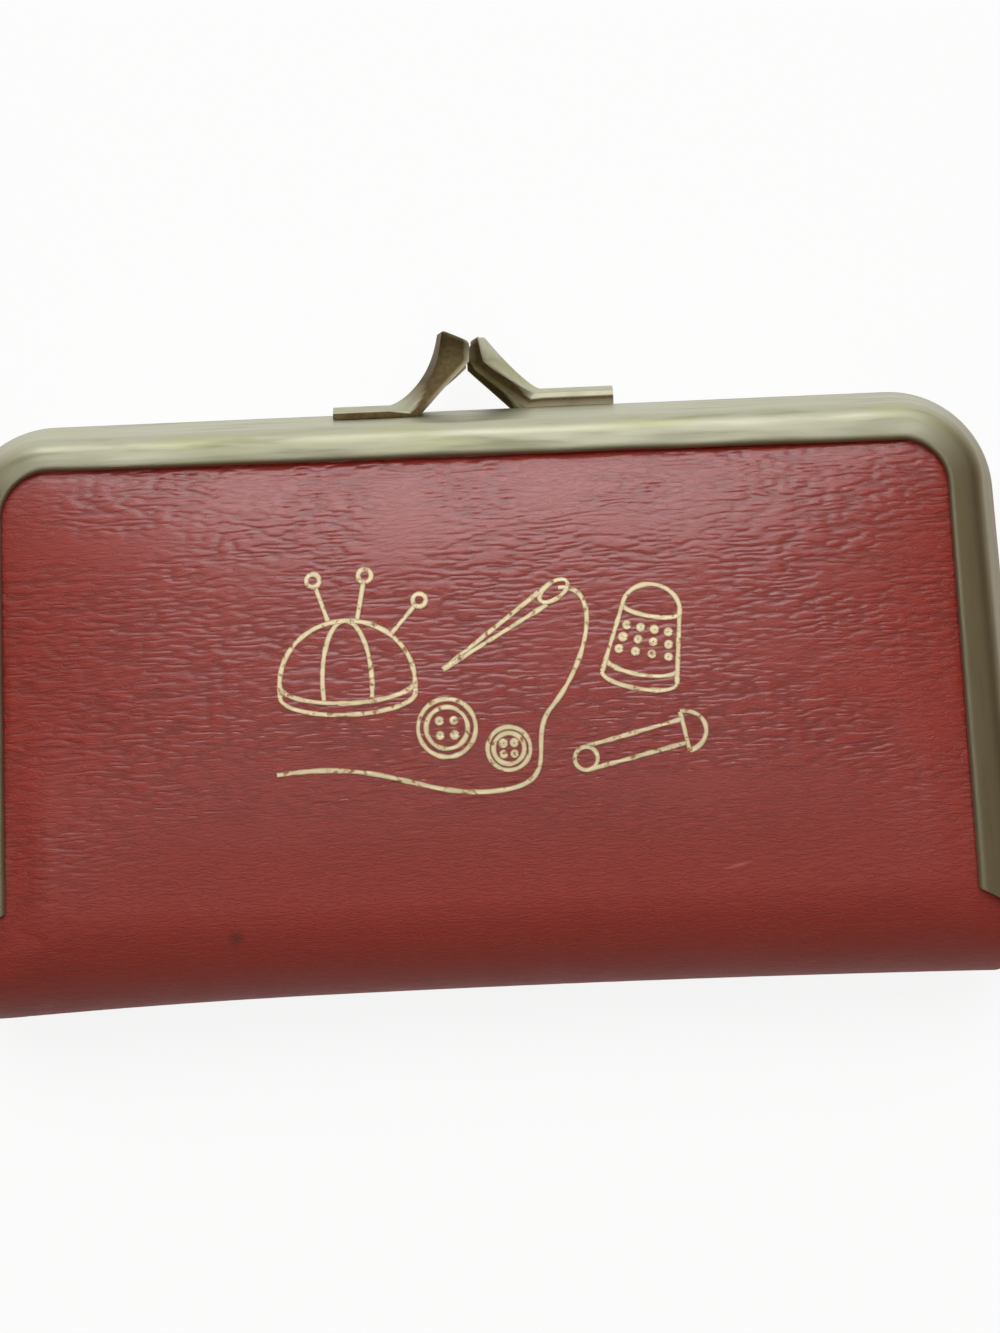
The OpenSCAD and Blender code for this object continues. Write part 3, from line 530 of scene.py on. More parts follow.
def lacquered_brass():
    """Rolled brass under worn lacquer: satin pale gold where hands rub it, and olive brown where it
    has tarnished and where shade is painted on, with streaks drawn out along the rolling that
    break up what it reflects, and painted olive and yellow-green reflection streaks in its tone."""
    material, tree, shader, place = new_finish("lacquered_brass")
    rolled = add(tree, "Attribute", attribute_name="rolled").outputs["Vector"]
    tarnish_and_shade = add(tree, "Attribute", attribute_name="tarnish_and_shade").outputs["Fac"]
    along = add(tree, "Mapping", {"Vector": rolled, "Scale": (1 / 13, 1 / 1.3, 1)})
    streaks = add(tree, "TexNoise", {"Vector": along.outputs[0], "Scale": 1.0, "Detail": 3.0})
    # painted reflection: streaks that darken the tone towards olive, standing for streaks of reflected room; they also
    # drive the bump and the gloss
    deep = add(tree, "MapRange", {"Value": streaks.outputs[0], "From Min": 0.52, "From Max": 0.74,
                                  "To Max": 0.35}, interpolation_type="SMOOTHSTEP")
    wide = add(tree, "Mapping", {"Vector": rolled, "Location": (3, 5, 0), "Scale": (1 / 20, 1 / 4, 1)})
    patches = add(tree, "TexNoise", {"Vector": wide.outputs[0], "Scale": 1.0, "Detail": 2.0})
    # painted reflection: yellow-green patches mixed into the pale gold tone
    green = add(tree, "MapRange", {"Value": patches.outputs[0], "From Min": 0.48, "From Max": 0.68,
                                   "To Max": 0.5}, interpolation_type="SMOOTHSTEP")
    tone = add(tree, "MixRGB", {"Fac": green.outputs[0], "Color1": colour("#C0BEA6"),
                                "Color2": colour("#B9BC86")})
    tone = add(tree, "MixRGB", {"Fac": deep.outputs[0], "Color1": tone.outputs[0],
                                "Color2": colour("#878462")})
    # tarnishing and painted shade: tarnish_and_shade darkens the tone to olive brown, most on the frame's arms and the
    # clasp's shaded faces
    tone = add(tree, "MixRGB", {"Fac": tarnish_and_shade, "Color1": tone.outputs[0], "Color2": colour("#7B6948")})
    pits = add(tree, "TexNoise", {"Vector": place, "Scale": 1 / (0.55 * mm), "Detail": 2.0})
    # dark pits where tarnish_and_shade is strong, so partly within painted shade
    black = add(tree, "MapRange", {"Value": tarnish_and_shade, "From Min": 0.82, "From Max": 1.0, "To Max": 0.8},
                interpolation_type="SMOOTHSTEP")
    black = add(tree, "Math", {0: black.outputs[0], 1: pits.outputs[0]}, operation="MULTIPLY")
    tone = add(tree, "MixRGB", {"Fac": black.outputs[0], "Color1": tone.outputs[0], "Color2": colour("#2E2714")})
    gloss = add(tree, "MapRange", {"Value": streaks.outputs[0], "From Min": 0.3, "From Max": 0.75,
                                   "To Min": 0.4, "To Max": 0.52})
    gloss = add(tree, "Math", {0: tarnish_and_shade, 1: 0.12, 2: gloss.outputs[0]}, operation="MULTIPLY_ADD")
    relief = add(tree, "Bump", {"Height": streaks.outputs[0], "Strength": 0.6, "Distance": 0.05 * mm})
    fill(tree, shader, {"Base Color": tone.outputs[0], "Roughness": gloss.outputs[0],
                        "Normal": relief.outputs[0], "Metallic": 1.0})
    return material


def frame_section():
    """The channel's section as outer and inner lines of (inset, height) from the closing line over
    the leaning wall, the roll and the lip to its rounded edge, with as many points each. The lip
    goes on rising a little from the roll, so that it lies pressed flat."""
    start = np.arctan(wall_lean / wall_top)
    a = np.linspace(start, np.pi / 2 - np.arctan(lip_slope[0]), 14)
    t = np.linspace(0, 1, 9)[1:]
    tilt = np.arctan(lip_slope[0] + (lip_slope[1] - lip_slope[0]) * t)
    lip_start = wall_lean + bead_r * (1 - np.cos(a[-1]))
    lip_rise = (lip_inset - 0.5 - lip_start) * (lip_slope[0] * t + (lip_slope[1] - lip_slope[0]) * t * t / 2)
    heights = np.array([0.22, 0.9, 1.7, 2.5, 3.2, 3.68, 3.74, 5.0, 7.0, 8.8])
    edges = []
    for depth, nib, back, ends in ((0.0, 0.2, 0.5, (72, 44, 16, -12)),
                                   (sheet_t, -0.2, 0.95, (-125, -97, -68, -40))):
        r = bead_r - depth
        roll = np.stack([wall_lean + bead_r - r * np.cos(a), wall_top + r * np.sin(a)], -1)
        wall_x = depth + (roll[0, 0] - depth) * (heights - closing_gap) / (roll[0, 1] - closing_gap)
        wall = np.stack([wall_x, heights], -1)
        lip = np.stack([lip_start + (lip_inset - back - lip_start) * t + depth * np.sin(tilt),
                        wall_top + bead_r * np.sin(a[-1]) + lip_rise - depth * np.cos(tilt)], -1)
        middle = np.array([lip_inset - lip_round, wall_top + bead_r * np.sin(a[-1]) + lip_rise[-1] - lip_round + 0.01])
        angle = np.radians(ends)
        edge = middle + lip_round * np.stack([np.cos(angle), np.sin(angle)], -1)
        edges.append(np.concatenate([[[depth + nib, closing_gap]], wall, roll, lip, edge]))
    return edges


def frame_sweep(section, skew, notch, wave):
    """The section carried up the right arm, round both corners and down the left arm. Each of its
    points stops at its own y at the arms' ends: on the wedge from the pivot, the notch or the mitre."""
    inset, height = section[:, 0][None], section[:, 1][None]
    end_y = hinge_y - end_drop * clamp(height / wall_top) + mitre_rise * clamp(
        (inset - mitre_inset) / mitre_run) * (inset > mitre_inset)
    end_y = np.where(height < notch, hinge_y + np.sqrt(np.clip(notch ** 2 - height ** 2, 0, None)), end_y)
    arc = np.linspace(splay, np.pi / 2, 25)
    bar = np.linspace(1, -1, 121)[1:-1]
    angle = np.concatenate([arc, np.full(len(bar), np.pi / 2), np.pi - arc[::-1]])[:, None]
    across = np.concatenate([np.ones(25), bar, -np.ones(25)])[:, None]
    level = np.abs(np.sin(angle)) ** 2
    run = np.arange(len(angle))[:, None]
    lip_share = clamp((inset - wall_lean - bead_r) / (lip_inset - wall_lean - bead_r))
    flared = inset + lip_flare * lip_share
    lift = wave * clamp(height / wall_top) * level
    r = corner_r - inset - skew * across * level * lip_share + 0.06 * lift * drift(run / 9, inset / 3 + 4)
    x = across * corner_x + r * np.cos(angle)
    y = corner_y + r * np.sin(angle)
    z = height + 0.07 * lift * drift(run / 7 + 30, inset / 4)
    arms = []
    for side, k in ((1, 0), (-1, -1)):
        t = np.linspace(0, 1, 26)[:-1, None]
        t = t if side > 0 else 1 - t
        end = (side * side_x(end_y, flared), end_y, height)
        arms.append([e * (1 - t) + c[k] * t for e, c in zip(end, (x, y, z))])
    whole = [np.concatenate([arms[0][i], c, arms[1][i]]) for i, c in enumerate((x, y, z))]
    return np.stack(whole, -1)


def ear(outer_x, thick, reach):
    """A flat ear round the hinge axis, with a hole for the rivet: rings round the axis, whose outer
    radius is reach(angle), at the ear's two faces."""
    a = np.linspace(0, 2 * np.pi, 73)[:-1]
    rim = reach(a)
    loops = [(outer_x - thick, ear_hole), (outer_x - thick, rim - 0.12), (outer_x - thick + 0.12, rim),
             (outer_x - 0.12, rim), (outer_x, rim - 0.12), (outer_x, ear_hole)]
    rings = np.stack([np.stack([np.full(len(a), x), r * np.cos(a), r * np.sin(a)], -1) for x, r in loops])
    rings[..., 1] += hinge_y
    index = np.arange(rings.shape[0] * len(a)).reshape(rings.shape[:2])
    index = np.concatenate([index, index[:1]])
    index = np.concatenate([index, index[:, :1]], axis=1)
    return rings.reshape(-1, 3), grid_faces(index)


def strap_reach(a):
    """The back ear's outline from the axis: a round plate with a strap that runs up to the wall."""
    top = (2 * ear_gap + 0.26 * ear_r + 0.1 + ear_t) / (wall_lean / wall_top) + 1
    up = np.clip(np.sin(a), 1e-6, None)
    along = np.cos(a)
    beside = np.where(along > 0, ear_r / np.clip(along, 1e-6, None), 0.5 * ear_r / np.clip(-along, 1e-6, None))
    return np.maximum(ear_r, np.where(np.sin(a) > 0, np.minimum(top / up, beside), 0))


def frame_piece(name, side, skew, notch, ear_x, thick, reach, brass):
    """One frame half: the swept channel and an ear at each end, on its own side of the closing line."""
    sections = frame_section()
    outer, inner = (frame_sweep(section, skew, notch, 1.0) for section in sections)
    ears = [ear(ear_x, thick, reach)]
    ears.append((ears[0][0] * (-1, 1, 1), ears[0][1]))
    points, faces = together([shell(outer, inner)] + ears)
    points[:, 2] = mid_z + side * points[:, 2]
    piece = make_piece(name, points, faces, brass, sharp=32)
    ahead = np.gradient(outer[:, 12, :2], axis=0)
    long = np.hypot(*ahead.T)
    # tarnishing and painted shade: dark down the arms, along the closing line and at the lip's edge, pale along the bar
    level = (ahead[:, 0] / long) ** 2
    across = np.cumsum(np.hypot(*np.diff(sections[0], axis=0, prepend=sections[0][:1]).T))
    low_edge, lip_edge = smooth(1 - across / 0.9), smooth((across - across[-1] + 1.2) / 0.6)
    dull = np.maximum(1 - level[:, None], np.maximum(low_edge, lip_edge)) * (1 - 0.45 * lip_edge)
    flow = np.broadcast_arrays(np.cumsum(long)[:, None], across[None, :], dull)
    *rolled, tarnish_and_shade = [np.concatenate([a.ravel(), a.ravel(), np.ones(2 * len(ears[0][0]))]) for a in flow]
    paint(piece, "rolled", np.stack([*rolled, np.zeros(len(tarnish_and_shade))], -1))
    paint(piece, "tarnish_and_shade", tarnish_and_shade * 0.8)
    return piece


brass = lacquered_brass()
front_frame = frame_piece("front_frame_brass", 1, lip_skew, 0.0, half_w, sheet_t,
                          lambda a: np.full(len(a), ear_r), brass)
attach(front_frame, "front_half")
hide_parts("front_frame")
back_frame = frame_piece("back_frame_brass", -1, 0.0, ear_r + ear_gap,
                         half_w - sheet_t - ear_gap - 0.26 * ear_r, ear_t, strap_reach, brass)
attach(back_frame, "back_half")
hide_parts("back_frame")

# Clasp
# Two stamped brass arms with folded flanges, soldered to the top bars. Each rises from its foot,
# widens over both halves and ends in a rounded head, so that the heads snap past each other.
clasp_h = 10.0
foot_w = 4.6
head_w = 7.6
flange = 0.8
foot_mid = 2.5
head_slant = 0.07
head_gap = 0.16
head_round = 0.5
# painted shade with tarnishing on the clasp's flanges
flange_tarnish_and_shade = 0.97


def clasp_arm(name, foot_end, ridge, edge, fold, side, face_tarnish_and_shade, edge_tarnish_and_shade, brass):
    """An arm along two cubic curves, the ridge of its outer face and the edge of its flanges. Its
    outer face falls from the ridge to the two bends by the share fold, and the flanges turn down
    from there. Its inner face runs parallel, and both close round the
    head on a half circle. fold and both shares of tarnishing and painted shade, of the outer face
    and of the flanges' edges, are given at the foot and at the head."""
    t = np.linspace(0, 1, 41)
    foot_in, foot_h = ridge[0]
    ridge, edge = bent(ridge, t), bent(edge, t)
    edge[:, 0] = np.minimum(edge[:, 0], -head_gap / 2)
    foot = np.linspace(foot_end, foot_in - 0.15, 8)
    ridge = np.concatenate([np.stack([foot, np.full(8, foot_h)], -1), ridge])
    edge = np.concatenate([np.stack([foot, np.full(8, 0.1)], -1), edge])
    t = np.concatenate([np.zeros(8), t])
    ahead = (ridge[-1] + edge[-1] - ridge[-4] - edge[-4]) / 2
    ahead /= np.hypot(*ahead)
    middle = (ridge[-1] + edge[-1]) / 2
    for a in np.radians([25, 45, 62, 76]):
        tip = middle + ahead * head_round * np.sin(a)
        ridge = np.concatenate([ridge, [tip + (ridge[48] - middle) * np.cos(a) ** 0.7]])
        edge = np.concatenate([edge, [tip + (edge[48] - middle) * np.cos(a) ** 0.7]])
    t = np.concatenate([t, np.full(4, 1.0)])
    fall = (edge - ridge) / np.hypot(*(edge - ridge).T)[:, None]
    thick = foot_h - 0.2 + (1.2 * flange - foot_h + 0.2) * smooth(3 * t)
    long = np.hypot(*(edge - ridge).T)
    q = np.linspace(-1, 1, 21)
    share = (fold[0] + (fold[1] - fold[0]) * smooth(t))[:, None]
    out = np.abs(q)[None, :]
    bow = np.where(out <= 0.5, 2 * out * share, share + (1 - share) * (2 * out - 1))[..., None]
    aside = np.sign(q) * np.interp(np.abs(q), [0, 0.5, 0.6, 1], [0, 0.86, 0.94, 1])
    rim = ridge + fall * np.maximum(long - flange, long * 0.45)[:, None]
    inner = ridge + fall * np.minimum(thick, 0.5 * long)[:, None]
    face = ridge[:, None] * (1 - bow) + rim[:, None] * bow
    under = inner[:, None] * (1 - bow) + edge[:, None] * bow
    wide = foot_w / 2 + (head_w - foot_w) / 2 * t ** 1.5
    wide[-4:] *= np.cos(np.radians([10, 25, 40, 55]))
    h = (foot_mid * (1 - smooth(t)))[:, None] + wide[:, None] * aside[None]
    lean = ((1 - smooth(t)) ** 2)[:, None] * (wall_lean / wall_top) * h
    slant = (head_slant * smooth(t))[:, None] * h
    walls = [np.stack([side * (w[..., 0] + slant), top_y + w[..., 1] - lean, mid_z + side * h], -1)
             for w in (face, under)]
    piece = make_piece(name, *shell(*walls), brass, sharp=32)
    far = np.broadcast_to(np.cumsum(np.hypot(*np.diff(ridge, axis=0, prepend=ridge[:1]).T))[:, None], h.shape)
    at_head = smooth(2 * t)[:, None]
    # tarnishing and painted shade, from the foot's values to the head's, darker still on the flanges
    dull, rim_dull = (low + (high - low) * at_head for low, high in (face_tarnish_and_shade, edge_tarnish_and_shade))
    fold_line = 0.8 - 0.36 * at_head
    dull = dull + (flange_tarnish_and_shade - dull) * smooth((out - fold_line) / 0.1)
    edge_dull = np.where(out > 0.95, rim_dull, dull)
    far, h = (np.tile(a.ravel(), 2) for a in (far, h))
    paint(piece, "rolled", np.stack([far * 4, h * 1.5, np.zeros(len(h))], -1))
    paint(piece, "tarnish_and_shade", np.concatenate([dull.ravel(), edge_dull.ravel()]))
    bevel = piece.modifiers.new("rubbed_edges", "BEVEL")
    bevel.width = 0.14 * mm
    bevel.segments = 2
    bevel.limit_method = "ANGLE"
    bevel.angle_limit = radians(35)
    return piece


# front arm: painted shade on its outer face towards the head, and on the flanges' edges at the foot
front_arm = clasp_arm("front_clasp_arm_brass", -17.1, [[-10.0, 1.35], [-6.6, 2.3], [-4.6, 5.4], [-3.8, 9.6]],
                      [[-6.4, 0.1], [-3.9, 2.5], [0.2, 5.2], [1.5, 7.8]], (0.5, 0.12), 1, (0.1, 1.0), (1.0, 0.3), brass)
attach(front_arm, "front_half")
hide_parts("front_clasp_arm")
# back arm: its outer face stays pale, and painted shade on the flanges' edges grows towards the head
back_arm = clasp_arm("back_clasp_arm_brass", -18.0, [[-9.1, 3.3], [-7.6, 3.3], [-5.6, 4.6], [-2.3, 8.9]],
                     [[-7.0, 0.1], [-4.2, 2.3], [0.3, 5.0], [1.6, 7.7]], (0.5, 0.8), -1, (0.0, 0.05), (0.35, 0.8), brass)
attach(back_arm, "back_half")
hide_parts("back_clasp_arm")

# Linings
# A tray of gold satin over thin card in each half: a puckered floor, and a wall that is turned over
# at the closing line. It is glued to the board behind it.
lining_inset = 3.834
lining_wall = 1.0
lining_y = hinge_y + 2
lining_back = 8.8
lining_floor = 8.2
lining_mid = (hinge_y + top_y) / 2


def gold_satin():
    """Rayon satin: a soft gold sheen along the threads, with a fine weave and slack puckers."""
    material, tree, shader, place = new_finish("gold_satin")
    weave = add(tree, "TexWave", {"Vector": place, "Scale": 1 / (2.2 * mm), "Distortion": 1.5},
                wave_type="BANDS", bands_direction="X")
    folds = add(tree, "TexNoise", {"Vector": place, "Scale": 1 / (7 * mm), "Detail": 3.0})
    tone = add(tree, "MixRGB", {"Fac": folds.outputs[0], "Color1": colour("#C4AE7C"),
                                "Color2": colour("#E2D3A8")})
    height = add(tree, "Math", {0: weave.outputs[0], 1: folds.outputs[0]}, operation="ADD")
    relief = add(tree, "Bump", {"Height": height.outputs[0], "Strength": 0.35, "Distance": 0.15 * mm})
    fill(tree, shader, {"Base Color": tone.outputs[0], "Normal": relief.outputs[0], "Roughness": 0.38,
                        "Sheen Weight": 0.3, "Sheen Roughness": 0.35, "Anisotropic": 0.5})
    return material


def outline_ring(inset, y0, share=1.0):
    """Points round a panel that lies inside the frame by an inset and starts at y0, drawn in
    towards the panel's middle by a share."""
    r = corner_r - inset
    start_x = side_x(y0, inset)
    a = np.linspace(splay, np.pi / 2, 13)
    arc = np.stack([corner_x + r * np.cos(a), corner_y + r * np.sin(a)], -1)
    side = np.linspace((start_x, y0), arc[0], 25)[:-1]
    top = np.linspace(arc[-1], (0, arc[-1, 1]), 31)[1:]
    right = np.concatenate([np.linspace((0, y0), (start_x, y0), 31)[:-1], side, arc, top])
    whole = np.concatenate([right, (right * (-1, 1))[-2:0:-1]])
    return (whole - (0, lining_mid)) * share + (0, lining_mid)


def loft(rings):
    """A closed skin over rings of points, with a flat cap on the first and the last."""
    index = np.arange(rings.shape[0] * rings.shape[1]).reshape(rings.shape[:2])
    index = np.concatenate([index, index[:, :1]], axis=1)
    caps = [index[0, :-1].tolist(), index[-1, :-1].tolist()]
    return rings.reshape(-1, 3), grid_faces(index) + caps


def lining_tray(name, side, satin):
    """A tray: from the middle of its back out to the wall, over the turned edge at the closing line,
    down the inner wall, round a soft fillet and in over the puckered floor."""
    rings = []
    for share in (0.05, 0.5, 1.0):
        rings.append((outline_ring(lining_inset + 0.3, lining_y + 0.3, share), lining_back))
    for inset, h in ((0, 8.5), (0, 4.5), (0, 0.5), (0.12, 0.28), (0.35, 0.2), (0.65, 0.2), (0.88, 0.28),
                     (1, 0.5), (1, 4), (1, 6.9), (1.1, 7.5), (1.4, 8.0), (1.9, 8.2)):
        rings.append((outline_ring(lining_inset + inset, lining_y + inset), h))
    for share in np.linspace(0.97, 0.05, 22):
        ring = outline_ring(lining_inset + 1.9, lining_y + 1.9, share)
        slack = drift(ring[:, 0] / 6 + 3, ring[:, 1] / 9) + 0.4 * drift(ring[:, 0] / 2, ring[:, 1] / 3)
        rings.append((ring, lining_floor + 0.14 * (1 + slack) * smooth((1 - share) * 8)))
    rows = [np.concatenate([xy, np.broadcast_to(h, len(xy))[:, None]], 1) for xy, h in rings]
    points, faces = loft(np.stack(rows))
    points[:, 2] = mid_z + side * points[:, 2]
    return make_piece(name, points, faces, satin, sharp=60)


satin = gold_satin()
for name, side, body in (("front_lining", 1, "front_half"), ("back_lining", -1, "back_half")):
    tray = lining_tray(name + "_satin", side, satin)
    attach(tray, body)
    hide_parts(name)

# Spine lining
# A strip of the same satin behind the spine, gathered a little.
strip_half = 62.1
strip_depth = 1.1
strip_t = 0.6


def lining_strip(depth):
    """A half round inside the spine's skin, with shallow gathers along it."""
    around = np.linspace(0, np.pi, 37)[:, None]
    x = np.linspace(-strip_half, strip_half, 125)[None, :]
    x = np.broadcast_to(x, (37, 125))
    across = 1 - clamp(np.abs(x) / side_x(hinge_y, lip_inset)) ** 4
    rise = spine_full(x) * across
    gather = 0.12 * (1 + np.sin(x * 1.7 + 2 * drift(x / 6, around * 2))) * np.sin(around)
    r = edge_h + rise - depth - gather
    return np.stack([x, hinge_y - r * np.sin(around), mid_z + r * np.cos(around)], -1)


strip = make_piece("spine_lining_satin", *shell(lining_strip(strip_depth), lining_strip(strip_depth + strip_t)),
                   satin)
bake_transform(strip)
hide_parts("spine_lining")

# Elastic loops
# Black ribbed elastic: a square loop over one finger ring of the scissors and a round one over
# the thimble, both sewn down to the back lining at their feet.


def black_elastic():
    """Woven elastic ribbon: matt black cotton over rubber, ribbed across its width."""
    material, tree, shader, place = new_finish("black_elastic")
    ribs = add(tree, "TexWave", {"Vector": place, "Scale": 1 / (3 * mm)}, bands_direction="Y")
    tone = add(tree, "MixRGB", {"Fac": ribs.outputs[0], "Color1": colour("#1C1B1E"),
                                "Color2": colour("#3A383D")})
    relief = add(tree, "Bump", {"Height": ribs.outputs[0], "Strength": 0.6, "Distance": 0.1 * mm})
    fill(tree, shader, {"Base Color": tone.outputs[0], "Normal": relief.outputs[0], "Roughness": 0.85,
                        "Sheen Weight": 0.25})
    return material


def elastic_loop(name, round_top, thick, elastic):
    """A ribbon that rises from one foot, crosses over and comes down on the other, with the width
    and the outer size of its node. Its inner face runs at one thickness inside."""
    low, high = (np.array(corner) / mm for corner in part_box(name))
    half = (high[0] - low[0]) / 2
    turn_r = half if round_top else 1.2
    a = np.radians(np.linspace(180, 0, 33))
    lines = []
    for inside in (0.0, thick):
        r = turn_r - inside
        bend = np.stack([r * np.cos(a) + np.where(a > np.pi / 2, -1, 1) * (half - turn_r),
                         high[2] - turn_r + r * np.sin(a)], -1)
        rise = np.linspace((-half + inside, low[2]), bend[0], 9)[:-1]
        lines.append(np.concatenate([rise, bend, (rise * (-1, 1))[::-1]]))
    across = np.linspace(low[1], high[1], 13)
    rounded = 0.1 * thick * np.cos(np.linspace(-1, 1, 13) * np.pi / 2)
    grids = []
    for k, line in enumerate(lines):
        x = (low[0] + high[0]) / 2 + line[:, :1] * (1 + 0 * rounded)
        z = line[:, 1:] + 0 * rounded
        y = np.broadcast_to(across, x.shape)
        grids.append(np.stack([x, y, z], -1))
    piece = make_piece(name + "_ribbon", *shell(*grids), elastic)
    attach(piece, "back_half")
    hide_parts(name)


elastic = black_elastic()
elastic_loop("scissors_strap", False, 0.5, elastic)
elastic_loop("thimble_loop", True, 0.5, elastic)

# Thread
# Cotton thread wound on each spool: level turns side by side, thinner at the ends where the
# winding stops short of the rims.
thread_pitch = 0.36
barrel_r = 2.65


def cotton_thread(shade, name):
    """Mercerised cotton: a soft sheen along the turns, with the fibres' twist as fine relief."""
    material, tree, shader, place = new_finish(name)
    fibres = add(tree, "TexNoise", {"Vector": place, "Scale": 1 / (0.4 * mm), "Detail": 2.0})
    dim = add(tree, "MapRange", {"Value": fibres.outputs[0], "To Min": 0.0, "To Max": 0.45})
    tone = add(tree, "MixRGB", {"Fac": dim.outputs[0], "Color1": colour(shade), "Color2": colour("#3A3836")},
               blend_type="MIX")
    relief = add(tree, "Bump", {"Height": fibres.outputs[0], "Strength": 0.4, "Distance": 0.06 * mm})
    fill(tree, shader, {"Base Color": tone.outputs[0], "Normal": relief.outputs[0], "Roughness": 0.55,
                        "Sheen Weight": 0.4})
    return material


def wound_thread(number, shade, slot):
    """The winding as one closed skin of revolution with a helical groove: its radius falls by a
    half sine once in each pitch, and the phase turns once round the spool."""
    node = f"thread_{number}"
    low, high = (np.array(corner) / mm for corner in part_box(node))
    long = high[1] - low[1]
    radius = (high[0] - low[0]) / 2
    y = np.linspace(0, long, int(long / thread_pitch * 7))[None, :]
    a = np.linspace(0, 2 * np.pi, 49)[:-1, None]
    fill_line = np.interp(y / long, (0, 0.05, 0.13, 0.35, 0.65, 0.87, 0.95, 1),
                          (barrel_r + 0.3, radius - 0.85, radius - 0.25, radius, radius, radius - 0.25,
                           radius - 0.85, barrel_r + 0.3))
    groove = 0.09 * (1 - np.abs(np.sin(np.pi * (y / thread_pitch + a / (2 * np.pi)))))
    grids = []
    for r in (fill_line - groove, np.full_like(groove, barrel_r)):
        grids.append(np.stack([(low[0] + high[0]) / 2 + r * np.cos(a), low[1] + y + 0 * a,
                               (low[2] + high[2]) / 2 + r * np.sin(a)], -1))
    piece = make_piece(node + "_wound", *shell(*grids, ring=True), cotton_thread(shade, f"cotton_{slot}"))
    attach(piece, f"spool_{number}")
    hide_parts(node)


for number, shade, slot in ((1, "#F2EFE6", "thread_white"), (2, "#242427", "thread_black"),
                            (3, "#2E4A78", "thread_blue"), (4, "#7B2430", "thread_red")):
    wound_thread(number, shade, slot)

# Needle pad
# Grey wool felt with pinked long edges, glued to the lid's lining, with five needles in it.
felt_teeth = 20


def wool_felt():
    """Pressed wool felt: matt and fuzzy, with mixed lighter and darker fibres."""
    material, tree, shader, place = new_finish("wool_felt")
    fuzz = add(tree, "TexNoise", {"Vector": place, "Scale": 1 / (0.6 * mm), "Detail": 6.0, "Roughness": 0.7})
    tone = add(tree, "MixRGB", {"Fac": fuzz.outputs[0], "Color1": colour("#958EA8"), "Color2": colour("#D6D2E0")})
    relief = add(tree, "Bump", {"Height": fuzz.outputs[0], "Strength": 0.8, "Distance": 0.25 * mm})
    fill(tree, shader, {"Base Color": tone.outputs[0], "Normal": relief.outputs[0], "Roughness": 1.0,
                        "Sheen Weight": 0.5, "Sheen Roughness": 0.6})
    return material


low, high = (np.array(corner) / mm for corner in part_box("needle_pad"))
x = np.linspace(low[0], high[0], felt_teeth * 8 + 1)[:, None]
tooth = 1 - np.abs((np.linspace(0, felt_teeth, felt_teeth * 8 + 1) % 1) * 2 - 1)[:, None]
y = (low[1] + high[1]) / 2 + np.linspace(-1, 1, 49)[None, :] * ((high[1] - low[1]) / 2 - 1 + tooth)
x = np.broadcast_to(x, y.shape)
pile = 0.07 * (1 + drift(x / 0.9, y / 0.9))
felt_faces = [np.stack([x, y, low[2] + pile], -1), np.stack([x, y, np.full(x.shape, high[2])], -1)]
felt_pad = make_piece("needle_pad_felt", *shell(*felt_faces), wool_felt())
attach(felt_pad, "front_half")
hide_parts("needle_pad")

# Their shapes are the frame's own, so each only gets its finish.


def refinish(material, *nodes):
    """Gives CAD nodes a finish in every material slot that they have."""
    for node in nodes:
        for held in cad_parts[node].material_slots:
            held.material = material


def plated_metal(name, bright, dull, gloss, scratch):
    """Bright plated or polished metal: fine polishing scratches, and a trace of tarnishing."""
    material, tree, shader, place = new_finish(name)
    clouds = add(tree, "TexNoise", {"Vector": place, "Scale": 1 / (5 * mm), "Detail": 4.0})
    tone = add(tree, "MixRGB", {"Fac": clouds.outputs[0], "Color1": colour(bright), "Color2": colour(dull)})
    worn = add(tree, "MapRange", {"Value": clouds.outputs[0], "To Min": gloss, "To Max": gloss + 0.2})
    lines = add(tree, "TexNoise", {"Vector": add(tree, "Mapping", {
        "Vector": place, "Scale": (1, 12, 12)}).outputs[0], "Scale": 1 / (4 * mm), "Detail": 4.0})
    relief = add(tree, "Bump", {"Height": lines.outputs[0], "Strength": scratch, "Distance": 0.03 * mm})
    fill(tree, shader, {"Base Color": tone.outputs[0], "Roughness": worn.outputs[0],
                        "Normal": relief.outputs[0], "Metallic": 1.0})
    return material


def turned_beech():
    """Turned beech under thin varnish: straight grain with short darker rays, and lathe marks."""
    material, tree, shader, place = new_finish("turned_beech")
    grain = add(tree, "TexNoise", {"Vector": add(tree, "Mapping", {
        "Vector": place, "Scale": (6, 1, 6)}).outputs[0], "Scale": 1 / (5 * mm), "Detail": 5.0})
    tone = add(tree, "MixRGB", {"Fac": grain.outputs[0], "Color1": colour("#B98545"), "Color2": colour("#DDB67C")})
    relief = add(tree, "Bump", {"Height": grain.outputs[0], "Strength": 0.3, "Distance": 0.08 * mm})
    fill(tree, shader, {"Base Color": tone.outputs[0], "Normal": relief.outputs[0], "Roughness": 0.42,
                        "Coat Weight": 0.15})
    return material


def pressed_card(name, light, dark):
    """Card: matt, with short fibres and a slight mottle."""
    material, tree, shader, place = new_finish(name)
    fibres = add(tree, "TexNoise", {"Vector": place, "Scale": 1 / (1.2 * mm), "Detail": 5.0})
    tone = add(tree, "MixRGB", {"Fac": fibres.outputs[0], "Color1": colour(light), "Color2": colour(dark)})
    relief = add(tree, "Bump", {"Height": fibres.outputs[0], "Strength": 0.2, "Distance": 0.05 * mm})
    fill(tree, shader, {"Base Color": tone.outputs[0], "Normal": relief.outputs[0], "Roughness": 0.85})
    return material


